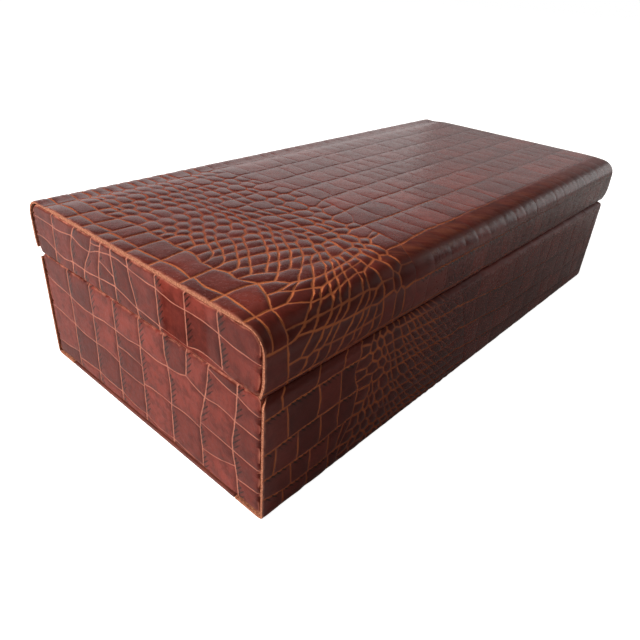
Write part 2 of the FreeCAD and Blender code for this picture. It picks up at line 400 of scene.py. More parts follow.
def row_cells(lines, zones, borders, span, main, kink=None):
    """Cells of a sheet. A zone names the lines that run through it and makes its cross grooves."""
    ends = [lambda t: span[0], *borders, lambda t: span[1]]
    on_line = {k: [] for k in range(len(lines))}
    pull = {k: {} for k in range(len(lines))}
    chains = []
    for z, border in enumerate(ends):
        beside = set(zones[max(z - 1, 0)][0]) | set(zones[min(z, len(zones) - 1)][0])
        chains.append({k: where_it_meets(border, lines[k], span) for k in sorted(beside)})
        for k, s in chains[-1].items():
            on_line[k].append(s)

    def joined(k, s):
        """Uses a groove end that is already there, if one is close."""
        close = [other for other in on_line[k] if abs(other - s) < 1.0]
        if close:
            return min(close, key=lambda other: abs(other - s))
        on_line[k].append(s)
        return s

    def height(k, s):
        """A row line gives way to the cross grooves that meet it, so bricks become six-sided scales."""
        spots = sorted(pull[k])
        gives = kink and spots and 0 < k < len(lines) - 1
        give = np.interp(s, spots, [pull[k][spot] for spot in spots]) if gives else 0
        return lines[k](s) + (give * kink(s, lines[k](s)) if give else 0)

    def side(a, s_a, b, s_b):
        """Points of a cross groove between two lines, a little bowed, but straight at the sheet's ends."""
        start, end = np.array((s_a, height(a, s_a))), np.array((s_b, height(b, s_b)))
        way = end - start
        steps = max(1, round(math.hypot(*way) / border_step))
        share = np.arange(1, steps) / steps
        bend = 0 if s_a in span else noise.noise(((start[0] + end[0]) / 9, (start[1] + end[1]) / 9, 0.5))
        bow = 0.16 * bend * np.sin(math.pi * share)
        return [tuple(q) for q in start + share[:, None] * way + bow[:, None] * np.array((-way[1], way[0]))]

    def climb(chain, a, b):
        """Points up the end of a zone, with the ends of the lines that meet it."""
        stops = [k for k in chain if a <= k <= b]
        path = []
        for k, after in zip(stops, stops[1:]):
            path += side(k, chain[k], after, chain[after])
            path.append((chain[after], height(after, chain[after])))
        return path[:-1]

    rows = []
    for z, (running, cuts) in enumerate(zones):
        for a, b in zip(running, running[1:]):
            left, right = chains[z], chains[z + 1]
            pairs, last = [], (left[a], left[b])
            for low, high in sorted(cuts(a, b, (left[a], left[b]), (right[a], right[b]))):
                low, high = joined(a, low), joined(b, high)
                if min(low - last[0], high - last[1]) > 1.8 and min(right[a] - low, right[b] - high) > 1.8:
                    pairs.append((low, high))
                    last = (low, high)
                    pull[a][low] = pull[a].get(low, 0) + 1
                    pull[b][high] = pull[b].get(high, 0) - 1
            rows.append((z, a, b, pairs))
    for chain in chains:
        for k, s in chain.items():
            pull[k][s] = 0
    points = {k: filled(sorted(set(places))) for k, places in on_line.items() if len(set(places)) > 1}

    def along(k, low, high):
        return [(s, height(k, s)) for s in points[k] if low - 1e-9 <= s <= high + 1e-9]

    cells = []
    for z, a, b, pairs in rows:
        walls = [(chains[z][a], chains[z][b], climb(chains[z], a, b), -1 if z == 0 else 0)]
        walls += [(low, high, side(a, low, b, high), 0) for low, high in pairs]
        walls.append((chains[z + 1][a], chains[z + 1][b], climb(chains[z + 1], a, b),
                      -1 if z == len(zones) - 1 else 0))
        kinds = [-1 if k in (0, len(lines) - 1) else (1 if k in main else 2) for k in (a, b)]
        for left, right in zip(walls, walls[1:]):
            foot, head = along(a, left[0], right[0]), along(b, left[1], right[1])
            cell = foot + right[2] + head[::-1] + left[2][::-1]
            labels = [kinds[0]] * (len(foot) - 1) + [right[3]] * (len(right[2]) + 1)
            labels += [kinds[1]] * (len(head) - 1) + [left[3]] * (len(left[2]) + 1)
            cells.append((np.array(cell), labels))
    return cells


# %% [markdown]
# Three kinds of cross grooves are enough for this hide: small scales, whose grooves carry on from
# row to row or break joint; long plates at nearly even distances; and grooves at given places,
# for the large tiles. They could all be drawn by hand, but a rule with a little chance in it
# gives many scales that look alike and are never the same.

# %% Cross grooves


def scale_cuts(chance, pitch, lean, carries_on):
    """Cross grooves of small scales. They carry on the grooves of the row below, or break joint."""
    carried = {}

    def cuts(a, b, left, right):
        below = carried.get(a, [])
        between = [(p + q) / 2 for p, q in zip(below, below[1:])]
        lows = sorted([p for p in below if carries_on(a, p)] + [p for p in between if not carries_on(a, p)])
        kept, s = [], left[0]
        while True:
            step = pitch(s)
            near = [p for p in lows if s + 0.62 * step < p < s + 1.5 * step]
            s = near[0] if near else s + step * chance.uniform(0.85, 1.15)
            if s > right[0] - 0.55 * step:
                break
            kept.append(s)
        pairs = []
        for low in kept:
            high = low + lean(a, low) + chance.uniform(-0.10, 0.10) * pitch(low)
            if left[1] + 0.5 * pitch(low) < high < right[1] - 0.5 * pitch(low):
                pairs.append((low, high))
        carried[b] = [high for low, high in pairs]
        return pairs
    return cuts


def plate_cuts(chance, length, stray=1.5):
    """Cross grooves of long plates, at about the same distance from each other."""
    def cuts(a, b, left, right):
        pairs, s = [], max(left) + length * chance.uniform(0.5, 1.0)
        while s < min(right) - 0.5 * length:
            pairs.append((s, s + chance.uniform(-stray, stray)))
            s += length * chance.uniform(0.75, 1.3)
        return pairs
    return cuts


def given_cuts(rows):
    """Cross grooves at places given for each row, by the number of the line below it."""
    return lambda a, b, left, right: [(c if isinstance(c, tuple) else (c, c)) for c in rows.get(a, ())]


# %% [markdown]
# The end panels have rounded corners, so a net of straight columns has to be trimmed. Each cell is
# cut along every edge of the outline in turn, which is simple and safe while the outline is
# convex, as these are.

# %% Trimming a net to an outline


def cut_cell(cell, labels, spot, way):
    """Cuts a cell by a line, keeping the side against the way; the new edge is an outer one."""
    side = [(p[0] - spot[0]) * way[0] + (p[1] - spot[1]) * way[1] for p in cell]
    if max(side) <= 0:
        return cell, labels
    kept, kept_labels = [], []
    for k, p in enumerate(cell):
        after = (k + 1) % len(cell)
        q = cell[after]
        if side[k] <= 0:
            kept.append(p)
            kept_labels.append(labels[k])
        if (side[k] <= 0) != (side[after] <= 0):
            share = side[k] / (side[k] - side[after])
            kept.append((p[0] + (q[0] - p[0]) * share, p[1] + (q[1] - p[1]) * share))
            kept_labels.append(-1 if side[k] <= 0 else labels[k])
    return kept, kept_labels


def trimmed(cells, outline):
    """The cells inside a convex outline that turns left."""
    inside = []
    for cell, labels in cells:
        for p, q in zip(outline, np.roll(outline, -1, axis=0)):
            way = (q[1] - p[1], p[0] - q[0])
            if len(cell) > 2 and math.hypot(*way) > 1e-6:
                cell, labels = cut_cell(cell, labels, p, way)
        if len(cell) > 2 and polygon_middle(np.array(cell))[1] > 0.3:
            inside.append(with_edge_points(cell, labels))
    return inside


def with_edge_points(cell, labels):
    """The same cell, with points along the long new edges too."""
    points, kinds = [], []
    for k, kind in enumerate(labels):
        p, q = np.array(cell[k]), np.array(cell[(k + 1) % len(cell)])
        steps = max(1, math.ceil(math.dist(p, q) / border_step)) if kind < 0 else 1
        points += [p + (q - p) * step / steps for step in range(steps)]
        kinds += [kind] * steps
    return np.array(points), kinds


def polygon_middle(cell):
    after = np.roll(cell, -1, axis=0)
    twist = cell[:, 0] * after[:, 1] - after[:, 0] * cell[:, 1]
    return ((cell + after) * twist[:, None]).sum(0) / (3 * twist.sum()), twist.sum() / 2


print("points along a 20 mm groove", len(filled([0.0, 20.0])))

# %% [markdown]
# Each cell becomes a scale: its edge is the bottom of the groove, rings of points climb out of it
# on to the plate, and the plate swells a little towards its middle. The rings also carry marks
# that the finish reads later, such as how deep in a groove a point lies. Long plates have a low
# ledge along one edge, where the finish later paints small slanting nicks dark, as the shadow in them.

# %% One embossed scale
ring_inset = (0.0, 0.15, 0.32, 0.65, 1.4)
ring_sink = (1.0, 0.82, 0.40, 0.08, 0.0)
ring_nick = (0.0, 0.25, 0.9, 1.0, 0.5)
ring_rounding = (0, 2, 5, 8, 10)
groove_depth = 0.30
edge_wear_depth = 0.5
nick_depth = 0.10
ring_gap = 2.7


def scale_border(cell, labels, middle, look):
    """Points round a cell, with for each: reach to the middle, groove depth, stain and nicks."""
    count = len(cell)
    ways = np.roll(cell, -1, axis=0) - cell
    longs = np.maximum(np.linalg.norm(ways, axis=1), 1e-9)
    ways = ways / longs[:, None]
    offset = middle - cell
    reach = np.abs(ways[:, 0] * offset[:, 1] - ways[:, 1] * offset[:, 0])
    centres = (cell + np.roll(cell, -1, axis=0)) / 2
    bite = np.array([look["strength"](centre, kind) if kind >= 0 else edge_wear_depth
                     for centre, kind in zip(centres, labels)])
    stain = np.where(np.array(labels) >= 0, bite, 0)
    nick = np.array([float(kind == 1 and middle[1] < centre[1] and look["nicked"](centre))
                     for centre, kind in zip(centres, labels)])
    rows = []
    for k in range(count):
        before = k - 1
        if longs[k] < 1e-4:
            continue
        rows.append((*cell[k], max(reach[k], reach[before] if labels[k] == labels[before] else 0, 0.3),
                     (bite[k] + bite[before]) / 2, max(stain[k], stain[before]), min(nick[k], nick[before])))
    return np.array(rows)


def scale_rings(cell, labels, look):
    """All points of one scale, ring by ring: s, t, rise, groove, nick, inset and darkening (dye and painted
    shade).
    """
    middle, area = polygon_middle(cell)
    border = scale_border(cell, labels, middle, look)
    points, reach, bite, stain, nick = border[:, :2], border[:, 2], border[:, 3], border[:, 4], border[:, 5]
    reach = np.maximum(reach, (np.roll(reach, 1) + np.roll(reach, -1)) / 2)
    tight = min(1.0, 0.62 * np.sort(border[:, 2])[len(border) // 6] / ring_inset[-1])
    crown = np.interp(area, (15, 60, 220), look["crown"])
    small = np.interp(area, (35, 110), (1.0, 0.0))
    dark_middle = look.get("dark_middle", 0) * small
    stain_reach = np.interp(area, (30, 110), look.get("stain_reach", (1.3, 0.95)))
    rings = []
    for k, inset in enumerate((*ring_inset[:-1], look.get("ledge", ring_inset[-1]))):
        wide = inset * tight * (1 + 0.25 * small) * (0.55 + 0.45 * bite)
        share = np.minimum(wide / reach, 0.75)
        ring = middle + (points - middle) * (1 - share)[:, None] if k else points
        for _ in range(ring_rounding[k] if small > 0.35 else k):
            ring = ring / 2 + (np.roll(ring, 1, axis=0) + np.roll(ring, -1, axis=0)) / 4
        rise = -groove_depth * look.get("depth", 1) * bite * ring_sink[k] + crown * share * (2 - share)
        rise = rise - nick * nick_depth * ring_nick[k]
        from_groove = np.linalg.norm(ring - points, axis=1)
        tanned = stain * np.interp(from_groove / stain_reach, (0, 0.16, 0.38, 0.72), (1, 0.85, 0.30, 0))
        # darkening beside the groove: dye that gathers there and painted shade of the groove wall, most on the
        # nicked side
        dye_and_shade = stain * np.interp(from_groove, (0, 0.3, 0.7, 2.2), (0, 0.4, 1, 0)) * (0.55 + 0.45 * nick)
        dye_and_shade = dye_and_shade * (1 - dark_middle) + dark_middle * np.interp(from_groove, (0.6, 1.5), (0, 0.6))
        rings.append(np.column_stack((ring, rise, tanned, nick * ring_nick[k], wide, dye_and_shade)))
    last, last_share = rings[-1][:, :2], share
    inner = max(0, math.ceil((reach.max() - ring_inset[-1]) / ring_gap) - 1)
    for step in range(1, inner + 1):
        left = 1 - step / (inner + 1)
        share = 1 - (1 - last_share) * left
        ring = middle + (last - middle) * left
        rise = crown * share * (2 - share)
        nothing = np.zeros(len(ring))
        rings.append(np.column_stack((ring, rise, nothing, nothing, nothing + 2,
                                      nothing + 0.6 * dark_middle)))
    return rings, np.array((*middle, crown, 0, 0, 2, 0.6 * dark_middle))


# %% [markdown]
# A whole sheet is all its scales together. The bottom of a groove belongs to both scales beside it,
# so those points are made once and shared, and each face remembers the tint of its scale.

# %% A sheet of scales


def emboss(cells, look, chance):
    """Points, faces and a tint for each face, of a whole sheet of scales."""
    rows, faces, tints, shared = [], [], [], {}
    for cell, labels in cells:
        rings, middle = scale_rings(cell, labels, look)
        tint = chance.random() * np.interp(polygon_middle(cell)[1], (35, 120), (0.35, 1.0))
        tint *= look["pale"](*middle[:2]) if "pale" in look else 1
        under = []
        for row in rings[0]:
            key = (round(row[0], 3), round(row[1], 3))
            if key not in shared:
                shared[key] = len(rows)
                rows.append(row)
            under.append(shared[key])
        for ring in rings[1:]:
            over = range(len(rows), len(rows) + len(ring))
            rows.extend(ring)
            for k in range(len(ring)):
                after = (k + 1) % len(ring)
                if under[k] != under[after]:
                    faces.append((under[k], under[after], over[after], over[k]))
            under = over
        rows.append(middle)
        faces.extend((under[k], under[(k + 1) % len(under)], len(rows) - 1) for k in range(len(under)))
        tints.extend([tint] * (len(faces) - len(tints)))
    return np.array(rows), faces, tints


print("grooves", groove_depth, "mm deep, in", len(ring_inset), "rings")


# %% [markdown]
# A sheet also has an edge. The cut edge of leather is pale and shows on this box as a ridge round
# each end panel, so the sheet gets its real thickness: a wall goes down all round it, and its
# back is closed. That makes each cover one closed solid of its own, as the real one is.

# %% Back and edge of a sheet


def outer_loop(faces):
    """The points round the edge of a sheet, in order."""
    ways = {(f[k], f[(k + 1) % len(f)]) for f in faces for k in range(len(f))}
    onward = {a: b for a, b in ways if (b, a) not in ways}
    start = min(onward)
    loop, at = [start], onward[start]
    while at != start:
        loop.append(at)
        at = onward[at]
    return loop


def close_strip(low_edge, s, t):
    """Faces that close the back of a wrapped sheet, in strips that run along it."""
    low_edge = np.array(low_edge)
    at_s, at_t = s[low_edge], t[low_edge]
    edge_width = 0.01
    left = low_edge[at_s < at_s.min() + edge_width]
    right = low_edge[at_s > at_s.max() - edge_width]
    front = low_edge[at_t < at_t.min() + edge_width]
    back = low_edge[at_t > at_t.max() - edge_width]
    left, right = left[np.argsort(t[left])], right[np.argsort(t[right])]
    front, back = front[np.argsort(s[front])], back[np.argsort(s[back])]
    faces = [(front[k], left[1], front[k + 1]) for k in range(len(front) - 1)]
    i, j = 1, 0
    while i < len(left) - 2 or j < len(right) - 1:
        if j == len(right) - 1 or (i < len(left) - 2 and t[left[i + 1]] < t[right[j + 1]]):
            faces.append((left[i], left[i + 1], right[j]))
            i += 1
        else:
            faces.append((right[j], left[i], right[j + 1]))
            j += 1
    faces.extend((left[-2], back[k], back[k + 1]) for k in range(len(back) - 1))
    return [tuple(int(v) for v in face) for face in faces]


# %% [markdown]
# Now one piece of leather can be made. The net is first bent a little by soft noise, so that no
# groove is ruled; then its points are laid on the box, the edge and the back are added, and the
# marks for the finish are stored on the mesh. A look is the list of what differs from one piece
# to the next: how deep the grooves bite, where the leather is worn, where it is dull.

# %% One leather piece

bend_size, ripple_size, swell_size = 21.0, 5.5, 10.0


def wander_by(s, t, size, seed):
    return np.array([noise.noise((a / size, b / size, seed)) for a, b in zip(s, t)])


def leather_piece(name, cells, look, place, thickness, seed, strip=True):
    """One embossed leather cover, as a closed mesh with the marks that its finish reads."""
    chance = random.Random(seed)
    rows, faces, tints = emboss(cells, look, chance)
    s, t, rise, groove, nick, inset, dye_and_shade = rows.T.copy()
    hold = np.clip(look["inside"](s, t) / look["bend_hold"], 0, 1)

    def stray(bend_seed, ripple_seed):
        bend = look["bend"] * wander_by(s, t, bend_size, seed + bend_seed)
        return hold * (bend + look["ripple"] * wander_by(s, t, ripple_size, seed + ripple_seed))

    bent_s, bent_t = s + stray(0.3, 1.9), t + stray(7.7, 5.1)
    rise = rise + look["swell"] * np.clip(inset, 0, 1) * wander_by(s, t, swell_size, seed + 3.1)
    rise = rise * look["relief"](bent_s, bent_t)
    if "lift" in look:
        rise = rise + look["lift"](bent_s, bent_t)
    loop = outer_loop(faces)
    first_low = len(s)
    low_rows = list(range(first_low, first_low + len(loop)))
    s, t = np.r_[bent_s, bent_s[loop]], np.r_[bent_t, bent_t[loop]]
    rise = np.r_[rise, np.full(len(loop), -thickness)]
    raw = [0.0] * len(faces)
    for k in range(len(loop)):
        after = (k + 1) % len(loop)
        faces.append((loop[after], loop[k], low_rows[k], low_rows[after]))
    faces.extend(close_strip(low_rows, s, t) if strip else [tuple(low_rows[::-1])])
    raw += [1.0] * (len(faces) - len(raw))
    tints += [0.5] * (len(faces) - len(tints))
    wear_and_highlight_share = look["wear_and_highlight"](s, t)
    mesh = bpy.data.meshes.new(name)
    mesh.from_pydata((place(s, t, rise) * mm).tolist(), [], faces)
    blank = np.zeros(len(loop))
    # the look's painted shade darkens the glaze further
    if "painted_shade" in look:
        dye_and_shade = np.maximum(dye_and_shade, look["painted_shade"](bent_s, bent_t))
    marks = {"groove": np.r_[groove, blank], "nick": np.r_[nick, blank], "dye_and_shade": np.r_[dye_and_shade, blank],
             "wear_and_highlight": wear_and_highlight_share, "tan": look["tan"](s, t),
             "dull": look["dull"](s, t) if "dull" in look else 0 * s,
             "rub": look["rub"](s, t) if "rub" in look else 0 * s}
    for key, values in marks.items():
        mesh.attributes.new(key, "FLOAT", "POINT").data.foreach_set("value", values.astype(np.float32))
    for key, values in (("tint", tints), ("raw", raw)):
        mesh.attributes.new(key, "FLOAT", "FACE").data.foreach_set("value", np.float32(values))
    sheet = np.column_stack((s, t, rise)).astype(np.float32).ravel()
    mesh.attributes.new("hide", "FLOAT_VECTOR", "POINT").data.foreach_set("vector", sheet)
    mesh.shade_smooth()
    mesh.set_sharp_from_angle(angle=math.radians(48))
    piece = bpy.data.objects.new(name, mesh)
    bpy.context.scene.collection.objects.link(piece)
    triangles = sum(len(f) - 2 for f in faces)
    print(name, "scales", len(cells), "triangles", triangles)
    return piece


# %% [markdown]
# The finish of the leather follows its making: a deep red-brown glaze on the plates, rubbed
# through to orange tan in the grooves and to pale tan along the edges. On the rolled edges of the
# end panels that pale tan is also a painted highlight. Marks on the mesh say where the glaze is
# darkened, rubbed, worn, dull or cut raw; the darkening is partly dye beside the grooves and partly
# painted shade, and the nicks are painted dark as the shadow in them. They are mixed with noise in
# sheet millimetres, so the finish stays with the leather when the lid moves. Fine grain is a bump,
# because it is far too small for geometry. The ends are a glossier cut of the hide with paler
# grooves, so they have a finish of their own from the same recipe.

# %% Crocodile leather
# the brown below is painted darkening: dye beside the grooves and painted shade
speck_red, mottle_dark, dye_and_shade_brown = (0.175, 0.034, 0.022), (0.042, 0.0078, 0.0060), (0.026, 0.0052, 0.0042)
# worn tan is real edge wear, and on the rolled panel edges also a painted highlight; the nick colour is painted
# shadow
rubbed_red, nick_shadow, worn_tan_highlight = (0.18, 0.046, 0.021), (0.012, 0.004, 0.003), (0.36, 0.130, 0.085)
cut_dark, cut_light = (0.17, 0.052, 0.028), (0.46, 0.200, 0.115)


def croc_leather(name, groove_red, groove_tan, glaze_dark, glaze_light, shine_at, mottling):
    material, tree, shader = new_finish(name)
    sheet = mark(tree, "hide", "Vector")
    cloud = noise_node(tree, sheet, 0.035, 3.0)
    speck = noise_node(tree, sheet, 0.55, 4.0, 0.6)
    tint = mark(tree, "tint")
    shade = calculate(tree, "MULTIPLY_ADD", tint, 0.50, calculate(tree, "MULTIPLY", cloud, 0.8))
    glaze = blend_colour(tree, ramp_between(tree, shade, 0.25, 1.0), glaze_dark, glaze_light)
    glaze = blend_colour(tree, ramp_between(tree, speck, 0.45, 0.8, 0.0, 0.5), glaze, speck_red)
    mottle = noise_node(tree, sheet, 0.16, 5.0, 0.62)
    glaze = blend_colour(tree, ramp_between(tree, mottle, 0.42, 0.66, 0.0, 0.60 * mottling), glaze,
                         mottle_dark)
    # dye and painted shade darken the glaze
    dye_and_shade = calculate(tree, "MULTIPLY", mark(tree, "dye_and_shade"), ramp_between(tree, speck, 0.3, 0.7, 0.60, 1.0))
    glaze = blend_colour(tree, dye_and_shade, glaze, dye_and_shade_brown)
    groove = mark(tree, "groove")
    rubbed = calculate(tree, "MULTIPLY_ADD", speck, 0.24, calculate(tree, "SUBTRACT", groove, 0.12))
    rubbed = ramp_between(tree, rubbed, 0.20, 0.75)
    tan = blend_colour(tree, mark(tree, "tan"), groove_red, groove_tan)
    colour = blend_colour(tree, rubbed, glaze, tan)
    split = add_node(tree, "SeparateXYZ", {"Vector": sheet})
    slanted = calculate(tree, "MULTIPLY_ADD", split.outputs["Y"], 1.1, split.outputs["X"])
    slanted = calculate(tree, "MULTIPLY_ADD", speck, 0.9, slanted)
    wave = calculate(tree, "PINGPONG", slanted, 1.3)
    along_x = calculate(tree, "MULTIPLY", slanted, 0.32)
    along_y = calculate(tree, "MULTIPLY", split.outputs["Y"], 0.06)
    along = add_node(tree, "CombineXYZ", {"X": along_x, "Y": along_y}).outputs["Vector"]
    streaks = ramp_between(tree, noise_node(tree, along, 1.0, 4.0, 0.6), 0.38, 0.68)
    streaks = calculate(tree, "MULTIPLY", streaks, mark(tree, "rub"))
    colour = blend_colour(tree, streaks, colour, rubbed_red)
    # nicks: painted shadow inside each slanting cut
    nick = calculate(tree, "MULTIPLY", mark(tree, "nick"), ramp_between(tree, wave, 0.22, 0.60, 1.0, 0.0))
    nick = calculate(tree, "MULTIPLY", nick, ramp_between(tree, cloud, 0.34, 0.46))
    colour = blend_colour(tree, ramp_between(tree, nick, 0.08, 0.60, 0.0, 0.90), colour, nick_shadow)
    # wear mark: real edge wear, and on the panel edges a painted highlight
    wear_and_highlight = mark(tree, "wear_and_highlight")
    fray = noise_node(tree, sheet, 0.30, 3.0)
    wear_and_highlight_share = calculate(tree, "MULTIPLY", wear_and_highlight, calculate(tree, "MULTIPLY_ADD", fray, 1.3, 0.25))
    colour = blend_colour(tree, ramp_between(tree, wear_and_highlight_share, 0.35, 0.95, 0.0, 0.9), colour, worn_tan_highlight)
    raw = mark(tree, "raw")
    fibre = noise_node(tree, sheet, 1.4, 3.0, 0.7)
    cut = blend_colour(tree, ramp_between(tree, fibre, 0.35, 0.75), cut_dark, cut_light)
    colour = blend_colour(tree, raw, colour, cut)
    tree.links.new(colour, shader.inputs["Base Color"])
    gloss = ramp_between(tree, speck, 0.2, 0.8, 0.19, 0.32)
    gloss = calculate(tree, "MAXIMUM", gloss, calculate(tree, "MULTIPLY", rubbed, 0.55))
    dull = mark(tree, "dull")
    gloss = calculate(tree, "MULTIPLY_ADD", dull, 0.22, gloss)
    gloss = calculate(tree, "MAXIMUM", gloss, calculate(tree, "MULTIPLY", raw, 0.85))
    tree.links.new(gloss, shader.inputs["Roughness"])
    pores = add_node(tree, "TexVoronoi", {"Vector": sheet, "Scale": 1.1},
                     feature="SMOOTH_F1").outputs["Distance"]
    grain = calculate(tree, "MULTIPLY_ADD", pores, 0.6, calculate(tree, "MULTIPLY", fibre, 0.7))
    grain = calculate(tree, "MULTIPLY_ADD", nick, -2.5, grain)
    grain = calculate(tree, "MULTIPLY_ADD", mottle, 16.0 * mottling, grain)
    bump = add_node(tree, "Bump", {"Height": grain, "Strength": 0.14, "Distance": 0.00010})
    tree.links.new(bump.outputs["Normal"], shader.inputs["Normal"])
    shine = calculate(tree, "MAXIMUM", dull, calculate(tree, "MULTIPLY", rubbed, 0.85))
    shine = calculate(tree, "MULTIPLY_ADD", shine, -0.5, 0.5)
    tree.links.new(shine, shader.inputs["Specular IOR Level"])
    shader.inputs["IOR"].default_value = shine_at
    return material


croc = croc_leather("croc_leather", (0.165, 0.034, 0.022), (0.42, 0.122, 0.046),
                    (0.090, 0.0140, 0.0098), (0.180, 0.0290, 0.0190), 1.42, 0.40)
croc_ends = croc_leather("croc_leather_ends", (0.20, 0.062, 0.044), (0.35, 0.135, 0.092),
                         (0.066, 0.0112, 0.0082), (0.168, 0.0300, 0.0212), 1.72, 0.95)
print("finish", croc.name, "nodes", len(croc.node_tree.nodes))

# %% [markdown]
# The lid's cover is one sheet, from the front rim over the top to the hinge. Small scales of the
# flank lie at the left, and from about a third of the length on, long rows of belly plates run
# to the right, their cross grooves fading out. A picture of scales could be pressed into a fine
# grid, but rows drawn through a few spots put the points only where the grooves are.

# %% Rows of the lid


def dress(piece, body, node, material):
    piece.data.materials.append(material)
    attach(piece, body)
    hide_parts(node)
    return piece


def end_wear(length, reach=1.8):
    return lambda s, t: 0.9 * np.clip(1 - np.minimum(s, length - s) / reach, 0, 1)


def from_edges(length, width):
    return lambda s, t: np.minimum.reduce((s, length - s, t, width - t))


place_lid, lid_width = wrap_on(lid_line, lid_length, lid_draw)
lid_rows = [
    through((0, 0.0), (310, 0.0)),
    through((0, 9.3), (310, 9.3)),
    through((0, 17.0), (25, 16.5), (45, 16.0), (70, 17.5), (310, 17.0)),
    through((0, 24.5), (20, 25.0), (34, 22.8), (60, 23.6), (80, 22.8), (310, 24.0)),
    through((0, 30.0), (26, 28.5), (45, 29.0), (60, 30.0), (80, 31.5), (310, 32.0)),
    through((0, 39.0), (12, 39.5), (22, 35.5), (28, 33.4), (36, 33.8), (46, 36.8), (60, 38.9), (80, 42.0),
            (100, 43.5), (190, 43.4), (310, 45.0)),
    through((0, 54.5), (15, 55.5), (22, 53.0), (30, 46.5), (38, 43.3), (50, 44.5), (60, 46.3), (72, 50.0),
            (90, 55.0), (310, 55.0)),
    through((0, 70.5), (12, 72.0), (25, 73.0), (38, 70.5), (55, 63.5), (72, 63.0), (100, 63.5), (310, 64.0)),
    through((0, 88.0), (10, 89.5), (20, 91.0), (35, 90.0), (50, 86.0), (65, 80.0), (80, 76.5), (90, 78.5),
            (100, 81.0), (310, 82.0)),
    through((0, 96.0), (30, 96.5), (60, 90.0), (80, 85.0), (100, 89.0), (310, 90.0)),
    through((0, 102.0), (15, 103.5), (35, 101.5), (55, 99.0), (75, 93.5), (88, 92.5), (100, 97.0),
            (310, 98.5)),
    through((0, 108.0), (50, 106.5), (75, 103.0), (100, 105.0), (310, 106.0)),
    through((0, 113.5), (40, 113.5), (75, 112.0), (100, 113.5), (310, 114.5)),
    through((0, 122.0), (50, 121.0), (100, 122.0), (310, 122.5)),
    through((0, 133.0), (30, 131.0), (60, 129.0), (100, 129.5), (310, 131.0)),
    through((0, 139.5), (60, 136.5), (100, 138.0), (310, 139.0)),
    through((0, 145.0), (60, 144.5), (100, 146.5), (310, 147.5)),
    through((0, 154.0), (60, 153.0), (100, 155.0), (310, 155.5)),
    through((0, 163.0), (60, 162.0), (100, 163.5), (310, 164.0)),
    through((0, 172.0), (100, 172.0), (310, 172.5)),
    through((0, 181.0), (100, 181.0), (310, 181.5)),
    through((0, lid_width), (310, lid_width)),
]


def part_way(low, high, share):
    return lambda s: low(s) + (high(s) - low(s)) * share


lid_lines = lid_rows[:6] + [part_way(lid_rows[5], lid_rows[6], 0.5), lid_rows[6]]
for k in (6, 7):
    lid_lines += [part_way(lid_rows[k], lid_rows[k + 1], share) for share in (0.34, 0.67)] + [lid_rows[k + 1]]
lid_lines += lid_rows[9:]
lid_main = {1, 3, 5, 7, 10, 13, 15, 17, 19, 21, 23, 25}
lid_left_lines = [0, 1, 3, 5, 7, 10, 13, 15, 17, 18, 19, 21, 23, 25, 26]
lid_right_lines = [0, 1, 3, 5, 10, 13, 15, 17, 19, 21, 23, 25, 26]
lid_scales_from = border_at((0, 13), (24, 9), (39, 12), (53, 20.5), (57, 15.5), (70, 18), (74, 13.5),
                            (88, 18.5), (92, 17), (122, 18), (140, 14), (210, 18))
lid_scales_to = border_at((0, 80), (31, 80), (43, 86), (60, 88), (70, 89), (82, 98), (100, 99), (116, 98),
                          (130, 95), (147, 92), (210, 90))
lid_pitch = ((10, 20, 34, 48, 60, 74, 88, 100), (5.8, 5.4, 5.2, 5.5, 6.0, 6.6, 7.6, 9.0))
lid_scales_split = border_at((0, 58), (40, 60), (60, 65), (90, 68), (210, 66))

print("lid rows", len(lid_lines) - 1, "sheet", round(lid_length, 1), "by", round(lid_width, 1), "mm")

# %% [markdown]
# The same net looks different over the lid: grooves are bold among the small scales and faint on the
# plates. The padded top falls away to a flat band along its front edge, where hands have rubbed
# the leather dull. That band and the front near the corner are painted darker: partly a darker
# glaze, partly painted shade. Each of these is a short function of the place on the sheet.

# %% Scales and wear of the lid
lid_back_cut = 2.0


def lid_lean(a, s):
    """How far the cross grooves lean along the sheet, over one row."""
    height = lid_lines[a + 1](s) - lid_lines[a](s)
    by_row = np.interp(a, (1, 3, 5, 7, 9, 11, 13, 15, 18),
                       (0.35, 0.90, 0.80, 0.75, 0.70, 0.60, 0.35, 0.20, 0.0))
    return height * by_row * np.interp(s, (42, 66), (1.0, 0.0))


def lid_strength(centre, kind):
    s, t = centre
    belly = np.interp(s - lid_scales_to(t), (-6, 2) if kind == 0 else (-4, 8), (0, 1))
    if kind == 0:
        fade = np.interp(s, (95, 170, 260), (0.24, 0.13, 0.09))
        fade = fade * np.interp(t, (20, 25, 44, 48), (1, 0.12, 0.2, 1))
    else:
        fade = np.interp(s, (95, 180, 300), (0.85, 0.50, 0.35))
        fade = fade * np.interp(t, (46, 60, 110, 150), (1.0, 0.85, 0.6, 0.5))
    scales = (0.88, 0.85, 0.64)[kind]
    return float(belly * fade + (1 - belly) * scales) * (0.92 + 0.35 * noise.noise((s / 8, t / 8, 2.2)))


def lid_swell(s, t):
    """The padded top stands up softly in the middle and falls away at its front and back edges."""
    from_rim = (18, 24, 28, 31, 33, 35, 42, 44, 47, 54)
    lifts = (0, -0.12, -0.36, -0.54, -0.60, -0.58, 0.14, 0.28, 0.36, 0.40)
    return np.interp(np.minimum(t, lid_width + lid_back_cut - t), from_rim, lifts)


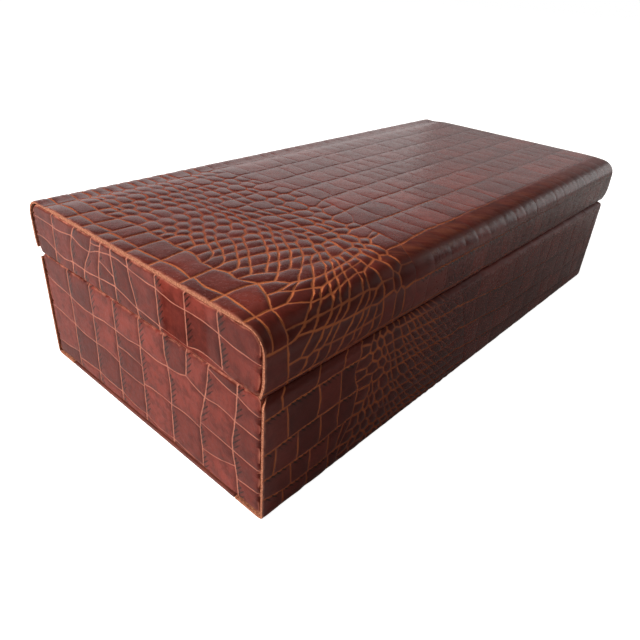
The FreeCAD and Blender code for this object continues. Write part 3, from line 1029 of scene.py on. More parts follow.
def lid_dull(s, t):
    """Rubbed leather on the front edge of the top has lost its shine, and round the corner too."""
    band = np.interp(t, (31.5, 34, 42.5, 44.5), (0, 0.85, 0.85, 0))
    band = band * np.interp(s, (0, 8, 200, 290), (0.5, 1, 1, 0.5))
    corner = np.interp(t, (20, 25, 33, 36), (0, 0.75, 0.75, 0)) * np.interp(s, (80, 100), (1, 0))
    front = 0.5 * np.interp(t, (20, 25), (1, 0)) * np.interp(s, (60, 130), (1, 0))
    return np.maximum.reduce((band, corner, front))


chance = random.Random(21)
tile_ends = {a: [(5.8 + chance.uniform(-0.8, 0.8), 5.8 + chance.uniform(-0.8, 0.8))] for a in range(5, 26)}
tile_ends[3] = [(3.0, 5.0)]
lid_scale_lines = list(range(len(lid_lines)))
lid_large_scale_lines = [k for k in lid_scale_lines if k not in (2, 6, 9, 12)]
lid_cuts = scale_cuts(chance, lambda s: np.interp(s, *lid_pitch), lid_lean,
                      lambda a, s: s < np.interp(a, (1, 8, 12, 15), (50, 58, 48, 15)))
lid_zones = [
    (lid_left_lines, given_cuts(tile_ends)),
    (lid_scale_lines, lid_cuts),
    (lid_large_scale_lines, lid_cuts),
    (lid_right_lines, plate_cuts(chance, 11.5)),
]


def lid_kink(s, t):
    from_left = np.interp(s - lid_scales_from(t), (0, 6), (0, 1))
    from_right = np.interp(lid_scales_to(t) - s, (0, 6), (0, 1))
    return 1.1 * from_left * from_right * np.interp(t, (12, 24), (0, 1))


def lid_rub(s, t):
    band = np.interp(t, (32, 35, 41, 43), (0, 1, 1, 0))
    return 0.75 * band * np.interp(s, (60, 85, 200, 300), (0, 1, 0.8, 0.3))


def lid_painted_shade(s, t):
    """Painted darker, partly darker glaze and partly painted shade: the rubbed band, and the front near the
    corner.
    """
    band = 0.55 * np.interp(t, (31, 34, 41.5, 44), (0, 1, 1, 0))
    return np.maximum(band, np.interp(t, (28, 34), (1, 0)) * np.interp(s, (0, 60, 120), (0.42, 0.32, 0)))


def lid_tan(s, t):
    """How far the grooves are rubbed through: most in front, and along the left end."""
    across = np.interp(t, (12, 20, 42, 60, 80, 110), (0.75, 1.0, 1.0, 0.80, 0.50, 0.22))
    front = across * np.interp(s, (20, 50, 90, 160, 240), (1.0, 0.8, 0.7, 0.6, 0.3))
    return front + np.interp(s, (0, 18, 34), (0.5, 0.35, 0)) * np.interp(t, (42, 70, 130), (0, 0.8, 0.6))


lid_cells = row_cells(lid_lines, lid_zones, [lid_scales_from, lid_scales_split, lid_scales_to],
                      (0, lid_length), lid_main, lid_kink)
lid_look = {
    "strength": lid_strength,
    "nicked": lambda p: p[0] > lid_scales_to(p[1]) + 3 and p[1] > 12,
    "crown": (0.09, 0.11, 0.11), "stain_reach": (2.2, 1.8), "dark_middle": 0.55, "depth": 0.85,
    "bend": 0.7, "ripple": 0.32, "bend_hold": 6.0,
    "swell": 0.09,
    "relief": lambda s, t: np.interp(t, (6.5, 9.5), (0.4, 1.0)),
    # pale: the tint of the scales grows darker towards the back of the lid
    "lift": lid_swell, "pale": lambda s, t: np.interp(t, (60, 150), (1, 0.25)),
    "dull": lid_dull,
    "painted_shade": lid_painted_shade,
    "rub": lid_rub,
    "wear_and_highlight": end_wear(lid_length),
    "inside": from_edges(lid_length, lid_width),
    "tan": lid_tan,
}
lid_cover = leather_piece("lid_cover", lid_cells, lid_look, place_lid, 1.2, 5)
dress(lid_cover, "lid", "lid_wrap_leather", croc)

# %% [markdown]
# The base has one sheet on its front and one on its back, each from the rim down and turned in
# below. The front starts at the left with square tiles, then small scales that drift downwards,
# then long rows. Nothing of the back shows in the picture, so it is the same hide laid the other
# way up, with a stretch of larger scales before its plates.

# %% Rows of the base
place_front, front_width = wrap_on(base_front_line, base_length, base_draw)
place_back, back_width = wrap_on(base_back_line, base_length, base_draw)
front_fold = 14.8
front_lines = [
    through((0, 0.0), (310, 0.0)),
    through((0, front_fold), (310, front_fold)),
    through((0, 19.0), (60, 18.6), (140, 16.6), (310, 16.5)),
    through((0, 25.0), (12, 22.0), (40, 23.5), (60, 22.5), (90, 21.5), (120, 20.0), (142, 18.4), (310, 18.0)),
    through((0, 29.0), (48, 28.5), (75, 27.5), (110, 25.5), (138, 23.5), (310, 22.0)),
    through((0, 34.0), (20, 33.2), (48, 35.0), (75, 33.0), (90, 32.0), (110, 31.0), (135, 29.0), (178, 25.0),
            (240, 22.8), (310, 21.5)),
    through((0, 40.0), (48, 40.5), (75, 39.0), (110, 37.0), (135, 35.5), (310, 34.0)),
    through((0, 45.5), (30, 47.2), (60, 46.5), (75, 46.0), (90, 45.0), (110, 43.5), (133, 42.0), (178, 37.0),
            (240, 34.5), (310, 33.0)),
    through((0, 51.0), (48, 51.5), (75, 50.3), (110, 47.8), (133, 46.3), (310, 45.0)),
    through((0, 56.5), (48, 56.8), (75, 55.0), (110, 52.4), (133, 51.0), (310, 50.0)),
    through((0, 60.5), (20, 62.0), (60, 61.6), (85, 59.6), (105, 57.6), (125, 56.5), (178, 51.0), (240, 48.3),
            (310, 46.5)),
    through((0, 66.8), (48, 67.0), (75, 66.0), (110, 64.5), (124, 62.8), (310, 61.0)),
    through((0, 71.5), (310, 71.5)),
    through((0, front_width), (310, front_width)),
]
front_main = {1, 3, 5, 7, 10, 12}
front_tiles = {1: [10.0, 22.5, 35.0], 3: [(14.5, 13.5), 23.5, 34.0, (40.0, 43.0)],
               5: [(5.0, 6.0), 16.5, 28.5, 39.0],
               7: [(11.5, 10.5), 26.5, 38.5], 10: [(8.5, 9.0), (25.0, 27.0), (39.5, 42.0)]}
front_pitch = ((46, 58, 74, 95, 118, 140), (7.4, 5.6, 4.9, 5.4, 6.0, 7.6))
scales_from = border_at((0, 48), (20, 40), (34, 48), (46, 49.5), (56, 46.5), (64, 50), (80, 50))
scales_to = border_at((0, 146), (20, 141), (42, 134), (57, 127), (66, 122), (80, 121))

print("front rows", len(front_lines) - 1, "sheet", base_length, "by", round(front_width, 1), "mm")

# %% [markdown]
# Front and back are made by one loop from the same recipe, since they are cut from the same hide.
# The grooves flatten out where the leather turns over the rim and under the foot, and towards the
# near corner the glaze is duller and painted darker, partly a darker glaze and partly painted shade.

# %% Front and back of the base


def front_lean(a, s):
    height = front_lines[a + 1](s) - front_lines[a](s)
    return height * np.interp(s, (56, 76, 100, 135), (0.0, -0.5, -1.1, -1.4))


def front_strength(centre, kind):
    s, t = centre
    belly = np.interp(s - scales_to(t), (-6, 1) if kind == 0 else (-4, 10), (0, 1))
    fade = 0.16 if kind == 0 else np.interp(s, (130, 200, 300), (0.85, 0.62, 0.5))
    scales = 0.90 if kind == 1 else 0.74 * np.interp(s - scales_to(t), (-34, -4), (1, 0.45))
    return float(belly * fade + (1 - belly) * scales) * (0.92 + 0.35 * noise.noise((s / 8, t / 8, 6.1)))


def base_tan(s, t):
    along = np.interp(s, (0, 60, 150, 230), (1.0, 0.9, 0.6, 0.3))
    return along * np.interp(t, (16, 40, 70), (0.5, 0.75, 0.95))


def flipped(line, high):
    return lambda s: high - line(s)


base_look = {
    "strength": front_strength,
    "nicked": lambda p: p[0] < 48 or p[0] > 150,
    "crown": (0.12, 0.13, 0.12), "stain_reach": (2.2, 1.7), "dark_middle": 0.6,
    "bend": 0.6, "ripple": 0.30, "bend_hold": 6.0,
    "swell": 0.09,
    "relief": lambda s, t: np.interp(t, (13, 16, 61, 67), (0.25, 1.0, 1.0, 0.12)),
    "wear_and_highlight": end_wear(base_length),
    # painted shade, partly darker glaze: darker towards the near left corner
    "painted_shade": lambda s, t: np.interp(s, (0, 60, 130), (0.40, 0.25, 0)),
    "dull": lambda s, t: np.maximum(np.interp(t, (65.5, 68), (0, 0.9)), np.interp(s, (40, 120), (0.5, 0))),
    "tan": base_tan,
}
back_high = front_fold + back_width - 15.0
back_picks = [13, 9, 8, 7, 6, 5, 4, 3, 2, 1, 0]
back_lines = [flipped(front_lines[k], back_high) for k in back_picks]
back_lines[0] = through((0, 0.0), (310, 0.0))
back_lines[-1] = through((0, back_width), (310, back_width))
base_sheets = (
    ("base_front_cover", "base_front_leather", place_front, front_lines, front_main,
     [0, 1, 3, 5, 7, 10, 12, 13], [0, 1, 5, 7, 10, 12, 13], front_tiles, 12),
    ("base_back_cover", "base_back_leather", place_back, back_lines, {3, 5, 7, 9},
     [0, 3, 5, 7, 9, 10], [0, 3, 5, 9, 10],
     {0: [12.0, 27.0, 39.0], 3: [8.0, 20.0, 33.0], 5: [14.0, 29.0, 38.0], 7: [10.0, 24.0, 36.0]}, 31),
)
for name, node, place, lines, main, left_lines, right_lines, tiles, seed in base_sheets:
    chance = random.Random(seed)
    look = dict(base_look, inside=from_edges(base_length, lines[-1](0)))
    borders = [scales_from, scales_to]
    if node == "base_back_leather":
        look["strength"] = lambda centre, kind: 0.75 if kind == 1 else 0.60
        look["relief"] = lambda s, t: np.interp(t, (51, 54), (1.0, 0.25))
        borders = [border_at((0, 46), (9, 39), (18, 48), (30, 42), (42, 50), (60, 44)),
                   border_at((0, 92), (20, 99), (34, 94), (60, 101)),
                   border_at((0, 124), (9, 136), (18, 127), (28, 142), (40, 131), (60, 145))]
    lean = front_lean if node == "base_front_leather" else (lambda a, s: -0.4 * (lines[a + 1](s) - lines[a](s)))
    zones = [
        (left_lines, given_cuts(tiles)),
        (list(range(len(lines))),
         scale_cuts(chance, lambda s: np.interp(s, *front_pitch), lean, lambda a, s: s > 68)),
        (right_lines, plate_cuts(chance, 16.0)),
    ]
    if len(borders) == 3:
        zones.insert(2, ([0, 1, 3, 5, 7, 9, 10], scale_cuts(chance, lambda s: 9.0, lean, lambda a, s: False)))

    def kink(s, t):
        from_left = np.interp(s - borders[0](t), (0, 6), (0, 1))
        from_right = np.interp(borders[-1](t) - s, (0, 6), (0, 1))
        return 0.8 * from_left * from_right * np.interp(t, (front_fold, front_fold + 5), (0, 1))

    cells = row_cells(lines, zones, borders, (0, base_length), main, kink)
    dress(leather_piece(name, cells, look, place, 1.2, seed), "base", node, croc)


# %% [markdown]
# Each end has two inset panels: a stiff card with its own leather drawn over it, so the panel's
# edge is softly rounded. Here the sheet is not bent along one line but rolled over an edge that
# runs all round. Its flat part is a core; how far a point lies beyond the core tells how far it
# has gone round the edge and then down the side.

# %% Rolled end panels
panel_gap_all = 1.7
panel_round = 1.3
panel_thick = 2.5
panel_set_back = 0.3
base_panel_corner = 2.0


def support_outline(core, margin):
    """A convex outline that keeps the same distance all round a core."""
    outline = []
    for turn in np.radians(np.arange(0, 360, 4)):
        way = np.array((math.cos(turn), math.sin(turn)))
        outline.append(core[np.argmax(core @ way)] + margin * way)
    return np.array(outline)


def beyond_core(core, points):
    """For each point: the nearest place on the core, the way out and the distance from it."""
    edge = np.roll(core, -1, axis=0) - core
    offset = points[:, None] - core
    share = np.clip((offset * edge).sum(2) / (edge ** 2).sum(1), 0, 1)
    near = core + share[..., None] * edge
    gaps = np.linalg.norm(points[:, None] - near, axis=2)
    best = gaps.argmin(1)
    rank = np.arange(len(points))
    inside = (edge[:, 0] * offset[..., 1] - edge[:, 1] * offset[..., 0] >= 0).all(1)
    away = np.where(inside, 0, gaps[rank, best])
    nearest = np.where(inside[:, None], points, near[rank, best])
    out = (points - nearest) / np.maximum(away, 1e-9)[:, None]
    return nearest, out, away


def roll_on(core, face_x, end_way):
    """Lays sheet points on an end panel: s is up, and t runs so that the outside faces out."""
    def place(s, t, rise):
        nearest, out, away = beyond_core(core, np.column_stack((s, t)))
        turned = np.clip(away / panel_round, 0, math.pi / 2)
        down = np.maximum(away - panel_round * math.pi / 2, 0)
        flat = nearest + out * (np.sin(turned) * (panel_round + rise))[:, None]
        depth = np.cos(turned) * (panel_round + rise) - panel_round - down
        return np.column_stack((end_way * (face_x + depth), -end_way * flat[:, 1], flat[:, 0]))
    return place


def ring_of(points):
    """A closed core outline without doubled points, turning left."""
    points = points[np.linalg.norm(points - np.roll(points, 1, axis=0), axis=1) > 1e-6]
    return points if polygon_middle(points)[1] > 0 else points[::-1]


def base_panel_core():
    inset = panel_gap_all + panel_round
    half, low = base_side - inset, base_foot + inset
    high, corner = base_rim - panel_round, base_panel_corner - panel_round
    runs = [arc((low + corner, half - corner), corner, 90, 180),
            arc((low + corner, corner - half), corner, 180, 270),
            arc((high - corner, corner - half), corner, 270, 360),
            arc((high - corner, half - corner), corner, 0, 90)]
    return ring_of(np.vstack([run[::10] for run in runs]))


def lid_panel_core():
    inset = panel_gap_all + panel_round
    rim = lid_rim + panel_round
    low_radius, top_radius = lid_low_round - inset, lid_top_round - inset
    sweep = math.degrees(math.asin((low_centre[1] - rim) / low_radius))
    side = np.vstack((arc(low_centre, low_radius, -sweep, 0)[::10], arc(top_centre, top_radius, 0, 90)[::6]))
    other = (side * (-1, 1))[::-1]
    return ring_of(np.vstack((side, other))[:, ::-1])


panel_cores = {"base": base_panel_core(), "lid": lid_panel_core()}
panel_faces = {"base": base_high[0] - panel_set_back, "lid": lid_high[0] - panel_set_back}
panel_reach = panel_round * math.pi / 2 + panel_thick - panel_round
print("panel cores", {key: len(core) for key, core in panel_cores.items()})

# %% [markdown]
# On the ends the belly rows stand upright, as columns about 18 mm wide, with staggered cross
# grooves and a line of slanting nicks along each column. The left lid panel also has a small
# star of broken scales near its top edge. The right end is not in the picture; it gets columns
# of the same width.

# %% Columns of the ends


def straight(places):
    return [through((-10, t), (100, t)) for t in places]


panel_reach_t = 80.0
base_left_lines = [
    *straight((-panel_reach_t,)),
    through((0, -60.5), (14, -59.5), (25, -57.0), (40, -59.5), (60, -61.5)),
    through((0, -40.0), (14, -40.0), (25, -38.8), (37, -42.5), (60, -47.0)),
    through((0, -31.0), (36, -31.0), (44, -32.5), (60, -33.5)),
    through((0, -21.0), (32, -22.0), (38, -21.5), (44, -19.3), (60, -19.0)),
    through((0, -2.0), (60, -3.5)),
    through((0, 16.0), (60, 14.5)),
    through((0, 34.5), (60, 32.0)),
    through((0, 52.0), (60, 50.5)),
    *straight((panel_reach_t,)),
]
base_left_border = border_at((-76, 37.0), (-59, 37.7), (-43, 38.5), (-32.5, 42.6), (-22.5, 37.0),
                             (-19.3, 42.8), (-4, 40.6), (-1.5, 41.4), (13, 40.0), (16.5, 40.0),
                             (31, 38.2), (35, 40.5), (50, 39.0), (53, 44.0), (70, 45.0))
base_left_zones = [
    ([0, 1, 2, 4, 5, 6, 7, 8, 9], given_cuts({
        0: [(12.0, 11.0), (23.0, 23.3)], 1: [(16.5, 12.5), (23.6, 25.0)], 2: [(3.5, 5.0), (22.2, 22.6)],
        4: [(5.2, 6.2), (22.6, 22.6)], 5: [(6.2, 8.0), (21.4, 21.8), (31.2, 32.4)],
        6: [(8.0, 8.8), (23.6, 24.8)],
        7: [(8.6, 7.4), (24.0, 26.2)], 8: [(11.0, 9.5), (26.4, 29.0)]})),
    (list(range(10)), given_cuts({0: [(48.6, 49.4)], 1: [(50.3, 52.5)]})),
]
lid_left_lines_up = [
    *straight((-panel_reach_t,)),
    through((50, -54.5), (82, -51.5)),
    through((50, -35.5), (82, -35.0)),
    through((50, -19.5), (60, -18.8), (82, -18.5)),
    through((50, -5.5), (60, -4.8), (72, -1.5), (82, -1.0)),
    through((50, 9.0), (64, 9.5), (82, 10.0)),
    through((50, 21.5), (66, 21.0), (72, 18.5), (82, 15.0)),
    through((50, 33.0), (60, 33.5), (66, 30.0), (73, 24.5), (82, 22.0)),
    through((50, 43.0), (62, 42.0), (73, 41.0), (76, 37.0), (82, 35.0)),
    through((50, 57.0), (82, 55.0)),
    *straight((panel_reach_t,)),
]
lid_left_borders = [
    border_at((-76, 56.6), (-20, 56.8), (-19, 57.4), (-5.5, 57.9), (-4.5, 59.2), (7, 59.0), (9.2, 62.6),
              (21, 61.6), (34, 60.6), (57, 61.6), (76, 61.2)),
    border_at((-76, 68.6), (-54, 69.6), (-52, 70.6), (-36, 71.8), (-34, 71.0), (-20, 73.4), (-17.5, 72.4),
              (-3, 75.0), (0, 73.4), (10, 75.4), (15, 72.6), (19, 74.6), (26, 71.2), (41, 73.8), (55, 72.4),
              (76, 72.0)),
]
lid_left_zones = [
    ([0, 3, 4, 5, 6, 7, 8, 9, 10], given_cuts({})),
    (list(range(11)), given_cuts({5: [(66.5, 70.0)], 6: [(66.0, 69.5)], 7: [(69.5, 65.5)]})),
    (list(range(11)), given_cuts({6: [(76.5, 75.8)]})),
]


def right_zones(seed, heights):
    chance = random.Random(seed)
    cuts = {a: [(z + chance.uniform(-1.5, 1.5),
                 z + chance.uniform(-1.5, 1.5)) for z in heights] for a in range(10)}
    return [(list(range(10)), given_cuts(cuts))]


right_lines_up = straight((-panel_reach_t, -60.0, -42.5, -24.0, -6.5, 11.5, 29.0, 46.5, 63.0, panel_reach_t))

print("columns", len(base_left_lines) - 1, "and", len(lid_left_lines_up) - 1, "on the left, 9 on the right")

# %% [markdown]
# The leather of a panel is drawn tight over its edge, so the grooves flatten out there and the glaze
# is rubbed to tan; that tan also stands for the highlight on the rolled edge, painted on. Both follow
# from one number, how far a point lies beyond the core. The far part of the ends is painted darker
# as shade, and the sheen comes in patches.

# %% Leather of the end panels


def panel_look(core, body, side):
    def beyond(s, t):
        return beyond_core(core, np.column_stack((s, t)))[2]

    def dull(s, t):
        """Sheen comes in patches; on the lid's near half it is nearly gone."""
        patchy = np.clip(0.40 * wander_by(s, t, 17.0, 4.6), 0, 0.35)
        near_half = np.interp(t, (-56, -46, -22, -4), (0.2, 0.95, 1.0, 0.0))
        near = near_half if (body, side) == ("lid", "left") else 0
        return np.maximum.reduce((patchy, near + 0 * s, np.interp(beyond(s, t), (-0.8, 0.2), (0, 0.97))))

    def strength(centre, kind):
        patchy = 0.95 + 0.3 * noise.noise((centre[0] / 8, centre[1] / 8, 9.4))
        return (0.95 if kind == 1 else 0.72) * patchy

    # the far part of each end is painted darker, as shade
    far_shade = (0.08, 0.42, 0.55) if body == "lid" else (0, 0.15, 0.35)
    return {
        "strength": strength,
        "nicked": lambda p: True,
        "crown": (0.22, 0.18, 0.14),
        "bend": 0.5, "ripple": 0.28, "bend_hold": panel_reach,
        "swell": 0.18, "depth": 1.7, "ledge": 3.2,
        "painted_shade": lambda s, t: np.interp(t, (10, 45, 72), far_shade),
        "relief": lambda s, t: np.interp(beyond(s, t), (-1.5, 0.6), (1.0, 0.10)),
        "dull": dull,
        # wear of the rolled edge, which also paints the highlight along it in tan
        "wear_and_highlight": lambda s, t: np.interp(beyond(s, t), (-0.2, 0.6, 1.6, 2.6), (0, 0.70, 0.85, 0.4)),
        "inside": lambda s, t: panel_reach - beyond(s, t),
        "tan": lambda s, t: 0.80 + 0 * s,
    }


def end_panel(body, side, lines, zones, borders, span, seed):
    end_way = -1 if side == "left" else 1
    core = ring_of(panel_cores[body] * (1, -end_way))
    outline = support_outline(core, panel_reach)
    cells = trimmed(row_cells(lines, zones, borders, span, set(range(20))), outline)
    place = roll_on(core, panel_faces[body], end_way)
    name = f"{body}_{side}_panel"
    piece = leather_piece(name, cells, panel_look(core, body, side), place, 0.6, seed, strip=False)
    return dress(piece, body, f"{body}_{side}_leather", croc_ends)


end_panel("base", "left", base_left_lines, base_left_zones, [base_left_border], (-4, 62), 41)
end_panel("lid", "left", lid_left_lines_up, lid_left_zones, lid_left_borders, (50, 86), 42)
end_panel("base", "right", right_lines_up, right_zones(43, (9.0, 24.0, 41.0)), [], (-4, 62), 43)
end_panel("lid", "right", right_lines_up, right_zones(44, (62.0, 73.0)), [], (50, 86), 44)

# %% [markdown]
# Where the lid meets the base, the rims of the two ends are covered by narrow strips that belong
# to the end panels: the same leather, drawn over the edge and down on to the rim. They only show
# when the box is open.

# %% Leather on the rims of the ends


def rim_place(body, side):
    end_way = -1 if side == "left" else 1
    up = 1 if body == "base" else -1
    level = base_rim if body == "base" else lid_rim
    along = -end_way * up

    def place(s, t, rise):
        return np.column_stack((end_way * (inner_x + t), along * (s - inner_y), level + up * rise))
    return place


inner_x = -box_mm("base_left_lining")[0][0]
for body, side, seed in (("base", "left", 61), ("base", "right", 62), ("lid", "left", 63),
                         ("lid", "right", 64)):
    chance = random.Random(seed)
    wide = panel_faces[body] - panel_thick - inner_x
    strip_lines = straight((0.0, wide))
    strip_cells = row_cells(strip_lines, [([0, 1], plate_cuts(chance, 15.0))], [], (0, 2 * inner_y), {0, 1})
    strip_look = {
        "strength": lambda centre, kind: 0.7, "nicked": lambda p: False, "crown": (0.16, 0.14, 0.12),
        "bend": 0.4, "ripple": 0.2, "bend_hold": 3.0, "swell": 0.05,
        "relief": lambda s, t: 0.5 + 0 * s, "wear_and_highlight": lambda s, t: 0.25 + 0 * s,
        "tan": lambda s, t: 0.6 + 0 * s,
        "inside": from_edges(2 * inner_y, wide),
    }
    strip = leather_piece(f"{body}_{side}_rim", strip_cells, strip_look, rim_place(body, side), 1.0, seed)
    dress(strip, body, f"{body}_{side}_leather", croc)

# %% [markdown]
# The linings and pads inside are cloth over card or wadding, and the underside is a plain sheet of
# leather. All of them are thin slabs with soft edges. A rounded slab is made from a grid on the six
# faces of a box: each point is drawn towards an inner box, and left at the edge radius from it.

# %% Soft slabs


def slab_steps(low, high, edge, step):
    inner = np.linspace(low + edge, high - edge, max(2, round((high - low) / step)))
    return np.r_[low, low + 0.42 * edge, inner, high - 0.42 * edge, high]


def soft_slab(name, low, high, edge, step, lift=None):
    """A closed slab with rounded edges; lift moves points along their way out of it."""
    low, high = np.array(low, float), np.array(high, float)
    steps = [slab_steps(low[k], high[k], min(edge, 0.49 * (high[k] - low[k])), step) for k in range(3)]
    points, faces, known = [], [], {}

    def number(p):
        key = tuple(round(float(v), 4) for v in p)
        if key not in known:
            known[key] = len(points)
            points.append(p)
        return known[key]

    for axis in range(3):
        one, two = (axis + 1) % 3, (axis + 2) % 3
        for end, value in ((0, low[axis]), (1, high[axis])):
            grid = []
            for u in steps[one]:
                row = []
                for v in steps[two]:
                    p = np.zeros(3)
                    p[axis], p[one], p[two] = value, u, v
                    row.append(number(p))
                grid.append(row)
            for i in range(len(grid) - 1):
                for j in range(len(grid[0]) - 1):
                    face = (grid[i][j], grid[i + 1][j], grid[i + 1][j + 1], grid[i][j + 1])
                    faces.append(face if end else face[::-1])
    points = np.array(points)
    reach = np.minimum(edge, 0.49 * (high - low))
    inner = np.clip(points, low + reach, high - reach)
    out = (points - inner) / reach
    out /= np.linalg.norm(out, axis=1)[:, None]
    points = inner + out * reach
    if lift:
        points = points + out * lift(points, out)[:, None]
    mesh = bpy.data.meshes.new(name)
    mesh.from_pydata((points * mm).tolist(), [], faces)
    mesh.shade_smooth()
    piece = bpy.data.objects.new(name, mesh)
    bpy.context.scene.collection.objects.link(piece)
    return piece


def uneven(size, high, seed):
    """A little unevenness, as hand-laid cloth or leather has."""
    def lift(points, out):
        return np.array([high * noise.noise((p[0] / size, p[1] / size, p[2] / size + seed)) for p in points])
    return lift


print("steps across a 20 mm slab", len(slab_steps(0.0, 20.0, 1.0, 4.0)))

# %% [markdown]
# Nothing of the inside shows in the picture. A tan suede is a common lining for such a box and
# goes with the tan of the worn grooves, so that was chosen. Suede has no gloss of its own: its nap
# catches light at the rim of a form, which the sheen of the shader gives, and it lies in cloudy
# brushed strokes.

# %% Suede linings


def suede(name, dark, light):
    material, tree, shader = new_finish(name)
    where = add_node(tree, "TexCoord").outputs["Object"]
    stretched = add_node(tree, "Mapping", {"Vector": where, "Scale": (60.0, 160.0, 90.0)}).outputs["Vector"]
    brushed = noise_node(tree, stretched, 1.0, 4.0, 0.6)
    nap = noise_node(tree, where, 2600.0, 3.0, 0.7)
    shade = calculate(tree, "MULTIPLY_ADD", nap, 0.5, calculate(tree, "MULTIPLY", brushed, 0.7))
    tree.links.new(blend_colour(tree, ramp_between(tree, shade, 0.35, 0.85), dark, light),
                   shader.inputs["Base Color"])
    bump = add_node(tree, "Bump", {"Height": nap, "Strength": 0.35, "Distance": 0.0002})
    tree.links.new(bump.outputs["Normal"], shader.inputs["Normal"])
    shader.inputs["Roughness"].default_value = 0.95
    shader.inputs["Specular IOR Level"].default_value = 0.15
    shader.inputs["Sheen Weight"].default_value = 0.35
    shader.inputs["Sheen Roughness"].default_value = 0.45
    shader.inputs["Sheen Tint"].default_value = (0.95, 0.80, 0.65, 1)
    return material


lining_suede = suede("lining_suede", (0.26, 0.155, 0.088), (0.46, 0.315, 0.20))
pad_suede = suede("pad_suede", (0.28, 0.17, 0.098), (0.49, 0.34, 0.22))
lining_count = 0
for body in ("base", "lid"):
    for side in ("front", "back", "left", "right"):
        node = f"{body}_{side}_lining"
        low, high = box_mm(node)
        piece = soft_slab(node + "_card", low, high, 0.6, 4.0, uneven(14.0, 0.06, lining_count))
        dress(piece, body, node, lining_suede)
        lining_count += 1

print("linings", lining_count)

# %% [markdown]
# The floor of the box and the inside of the lid are thin pads on flat boards. Blender's cloth could
# inflate them, but so thin a pad on a board only swells, so a smooth crown with a little noise for
# the wadding is used.

# %% Pads


def crowned(low, high, crown, face, seed):
    """A pad: its open face swells towards the middle, and the wadding makes it a little uneven."""
    middle, half = (low + high) / 2, (high - low) / 2

    def lift(points, out):
        across = np.abs(points - middle) / half
        swell = (1 - across[:, 0] ** 6) * (1 - across[:, 1] ** 4)
        lumps = np.array([noise.noise((p[0] / 31, p[1] / 31, seed)) for p in points])
        return np.clip(out[:, 2] * face, 0, 1) * swell * (crown + 0.25 * lumps)
    return lift


for node, body, face in (("base_floor_pad", "base", 1), ("lid_top_pad", "lid", -1)):
    low, high = box_mm(node)
    pad = soft_slab(node + "_cushion", low, high, 1.5, 4.0, crowned(low, high, 1.5, face, 4.4 + face))
    dress(pad, body, node, pad_suede)


# %% [markdown]
# The box stands on a plain sheet of leather in the brown of the covers. It takes the scuffs of
# every table, so it is matt, and paler where it is rubbed.

# %% Underside


def plain_leather():
    material, tree, shader = new_finish("plain_leather")
    where = add_node(tree, "TexCoord").outputs["Object"]
    cloud = noise_node(tree, where, 28.0, 4.0, 0.55)
    scuff = noise_node(tree, where, 240.0, 5.0, 0.65)
    shade = calculate(tree, "MULTIPLY_ADD", scuff, 0.5, calculate(tree, "MULTIPLY", cloud, 0.6))
    colour = blend_colour(tree, ramp_between(tree, shade, 0.30, 0.80), (0.060, 0.014, 0.010),
                          (0.150, 0.038, 0.024))
    colour = blend_colour(tree, ramp_between(tree, scuff, 0.62, 0.78, 0.0, 0.6), colour, (0.30, 0.11, 0.065))
    tree.links.new(colour, shader.inputs["Base Color"])
    tree.links.new(ramp_between(tree, scuff, 0.3, 0.7, 0.42, 0.70), shader.inputs["Roughness"])
    pores = add_node(tree, "TexVoronoi", {"Vector": where, "Scale": 900.0},
                     feature="SMOOTH_F1").outputs["Distance"]
    bump = add_node(tree, "Bump", {"Height": pores, "Strength": 0.3, "Distance": 0.00015})
    tree.links.new(bump.outputs["Normal"], shader.inputs["Normal"])
    return material


low, high = box_mm("underside_leather")
underside = soft_slab("underside_sheet", low, high, 0.5, 5.0, uneven(24.0, 0.05, 9.0))
dress(underside, "base", "underside_leather", plain_leather())
print("soft pieces", lining_count + 3)

# %% [markdown]
# The hinge is solid enough in the frame, so its leaves, knuckles and pin only get finishes: drawn
# brass with fine lines along the strip, and bright steel. The boards and cards are hidden by the
# leather, and get plain wood and pulp.

# %% Brass, steel, wood and card


def drawn_metal(name, dark, light, roughness):
    material, tree, shader = new_finish(name)
    where = add_node(tree, "TexCoord").outputs["Object"]
    stretched = add_node(tree, "Mapping",
                         {"Vector": where, "Scale": (30.0, 2400.0, 2400.0)}).outputs["Vector"]
    lines = noise_node(tree, stretched, 1.0, 3.0, 0.6)
    tarnish = noise_node(tree, where, 160.0, 4.0, 0.6)
    shade = calculate(tree, "MULTIPLY_ADD", lines, 0.35, calculate(tree, "MULTIPLY", tarnish, 0.75))
    tree.links.new(blend_colour(tree, ramp_between(tree, shade, 0.35, 0.75), dark, light),
                   shader.inputs["Base Color"])
    tree.links.new(ramp_between(tree, lines, 0.2, 0.8, roughness - 0.08, roughness + 0.10),
                   shader.inputs["Roughness"])
    bump = add_node(tree, "Bump", {"Height": lines, "Strength": 0.15, "Distance": 0.00005})
    tree.links.new(bump.outputs["Normal"], shader.inputs["Normal"])
    shader.inputs["Metallic"].default_value = 1.0
    return material


def wood(name, dark, light):
    material, tree, shader = new_finish(name)
    where = add_node(tree, "TexCoord").outputs["Object"]
    stretched = add_node(tree, "Mapping", {"Vector": where, "Scale": (12.0, 190.0, 190.0)}).outputs["Vector"]
    grain = noise_node(tree, stretched, 1.0, 5.0, 0.6)
    tree.links.new(blend_colour(tree, ramp_between(tree, grain, 0.3, 0.7), dark, light),
                   shader.inputs["Base Color"])
    shader.inputs["Roughness"].default_value = 0.7
    bump = add_node(tree, "Bump", {"Height": grain, "Strength": 0.2, "Distance": 0.0002})
    tree.links.new(bump.outputs["Normal"], shader.inputs["Normal"])
    return material


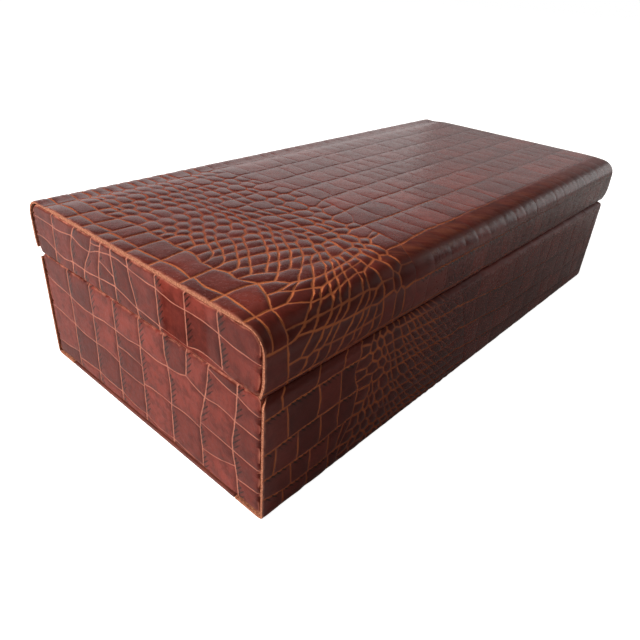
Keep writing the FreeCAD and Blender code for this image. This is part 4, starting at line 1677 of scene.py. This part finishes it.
def pressed_card(name, dark, light):
    material, tree, shader = new_finish(name)
    where = add_node(tree, "TexCoord").outputs["Object"]
    pulp = noise_node(tree, where, 900.0, 5.0, 0.7)
    tree.links.new(blend_colour(tree, ramp_between(tree, pulp, 0.3, 0.7), dark, light),
                   shader.inputs["Base Color"])
    shader.inputs["Roughness"].default_value = 0.9
    return material


brass = drawn_metal("hinge_brass", (0.42, 0.25, 0.085), (0.72, 0.49, 0.20), 0.30)
screw_brass = drawn_metal("screw_brass", (0.40, 0.24, 0.08), (0.70, 0.47, 0.19), 0.26)
steel = drawn_metal("pin_steel", (0.40, 0.40, 0.41), (0.62, 0.62, 0.63), 0.28)
box_wood = wood("box_wood", (0.34, 0.21, 0.11), (0.56, 0.39, 0.23))
card = pressed_card("card", (0.28, 0.22, 0.16), (0.44, 0.37, 0.28))
for node, solid in frame["nodes"].items():
    kind = node.split("_")[-1]
    finish = {"board": box_wood, "rail": box_wood, "card": card, "leaf": brass, "pin": steel}.get(kind)
    for place in solid.material_slots if finish else ():
        place.material = finish
print("finishes", brass.name, steel.name, box_wood.name, card.name)

# %% [markdown]
# The screws do need a form: a countersunk head with a slot. It could be cut out with a boolean, but
# a slot is easy if the head is built as rings: the outer rings are round, and the inner one is the
# rectangle of the slot, which then goes straight down.

# %% Slotted screws
head_radius, slot_long, slot_wide, slot_deep = 1.6, 1.15, 0.24, 0.42
shank_radius, screw_long = 0.85, 6.5
turn_count = 40


def screw_rings(way):
    """Rings of one slotted countersunk screw, from the floor of the slot to the tip."""
    turns = np.linspace(0, 2 * math.pi, turn_count, endpoint=False)
    ray_way = np.column_stack((np.cos(turns), np.sin(turns)))
    to_edge = np.minimum(slot_long / np.maximum(np.abs(ray_way[:, 0]), 1e-6),
                         slot_wide / np.maximum(np.abs(ray_way[:, 1]), 1e-6))
    slot_ring = ray_way * to_edge[:, None]
    heights = ((slot_ring, -slot_deep), (slot_ring, 0.0), (ray_way * (head_radius - 0.12), 0.0),
               (ray_way * head_radius, -0.10), (ray_way * shank_radius, -0.85),
               (ray_way * shank_radius * 0.9, -screw_long * 0.7), (ray_way * 0.05, -screw_long))
    return [np.column_stack((ring, np.full(turn_count, way * height))) for ring, height in heights]


def screw_row(name, level, way, seed):
    """All the screws of one leaf as one mesh; each stopped at its own turn of the slot."""
    chance = random.Random(seed)
    points, faces = [], []
    for spot in screw_spots:
        turn = chance.uniform(0, math.pi)
        spin = np.array(((math.cos(turn), math.sin(turn)), (-math.sin(turn), math.cos(turn))))
        first = len(points)
        rings = screw_rings(way)
        for ring in rings:
            ring[:, :2] = ring[:, :2] @ spin
            points += (ring + (spot, screw_line, level)).tolist()
        quads = []
        for k in range(len(rings) - 1):
            for i in range(turn_count):
                j = (i + 1) % turn_count
                at = first + k * turn_count
                quads.append((at + i, at + turn_count + i, at + turn_count + j, at + j))
        quads.append(tuple(range(first, first + turn_count)))
        last = first + (len(rings) - 1) * turn_count
        quads.append(tuple(reversed(range(last, last + turn_count))))
        faces += [face if way > 0 else face[::-1] for face in quads]
    mesh = bpy.data.meshes.new(name)
    mesh.from_pydata((np.array(points) * mm).tolist(), [], faces)
    piece = bpy.data.objects.new(name, mesh)
    bpy.context.scene.collection.objects.link(piece)
    return piece


base_screws = box_mm("hinge_base_screws")
screw_line = (base_screws[0][1] + base_screws[1][1]) / 2
screw_reach = base_screws[1][0] - head_radius
screw_spots = np.linspace(-screw_reach, screw_reach, 6)
dress(screw_row("hinge_base_slotted_screws", base_rim, 1, 71), "base", "hinge_base_screws",
      screw_brass)
dress(screw_row("hinge_lid_slotted_screws", lid_rim, -1, 72), "lid", "hinge_lid_screws",
      screw_brass)
print("screws at", [round(float(x), 2) for x in screw_spots])
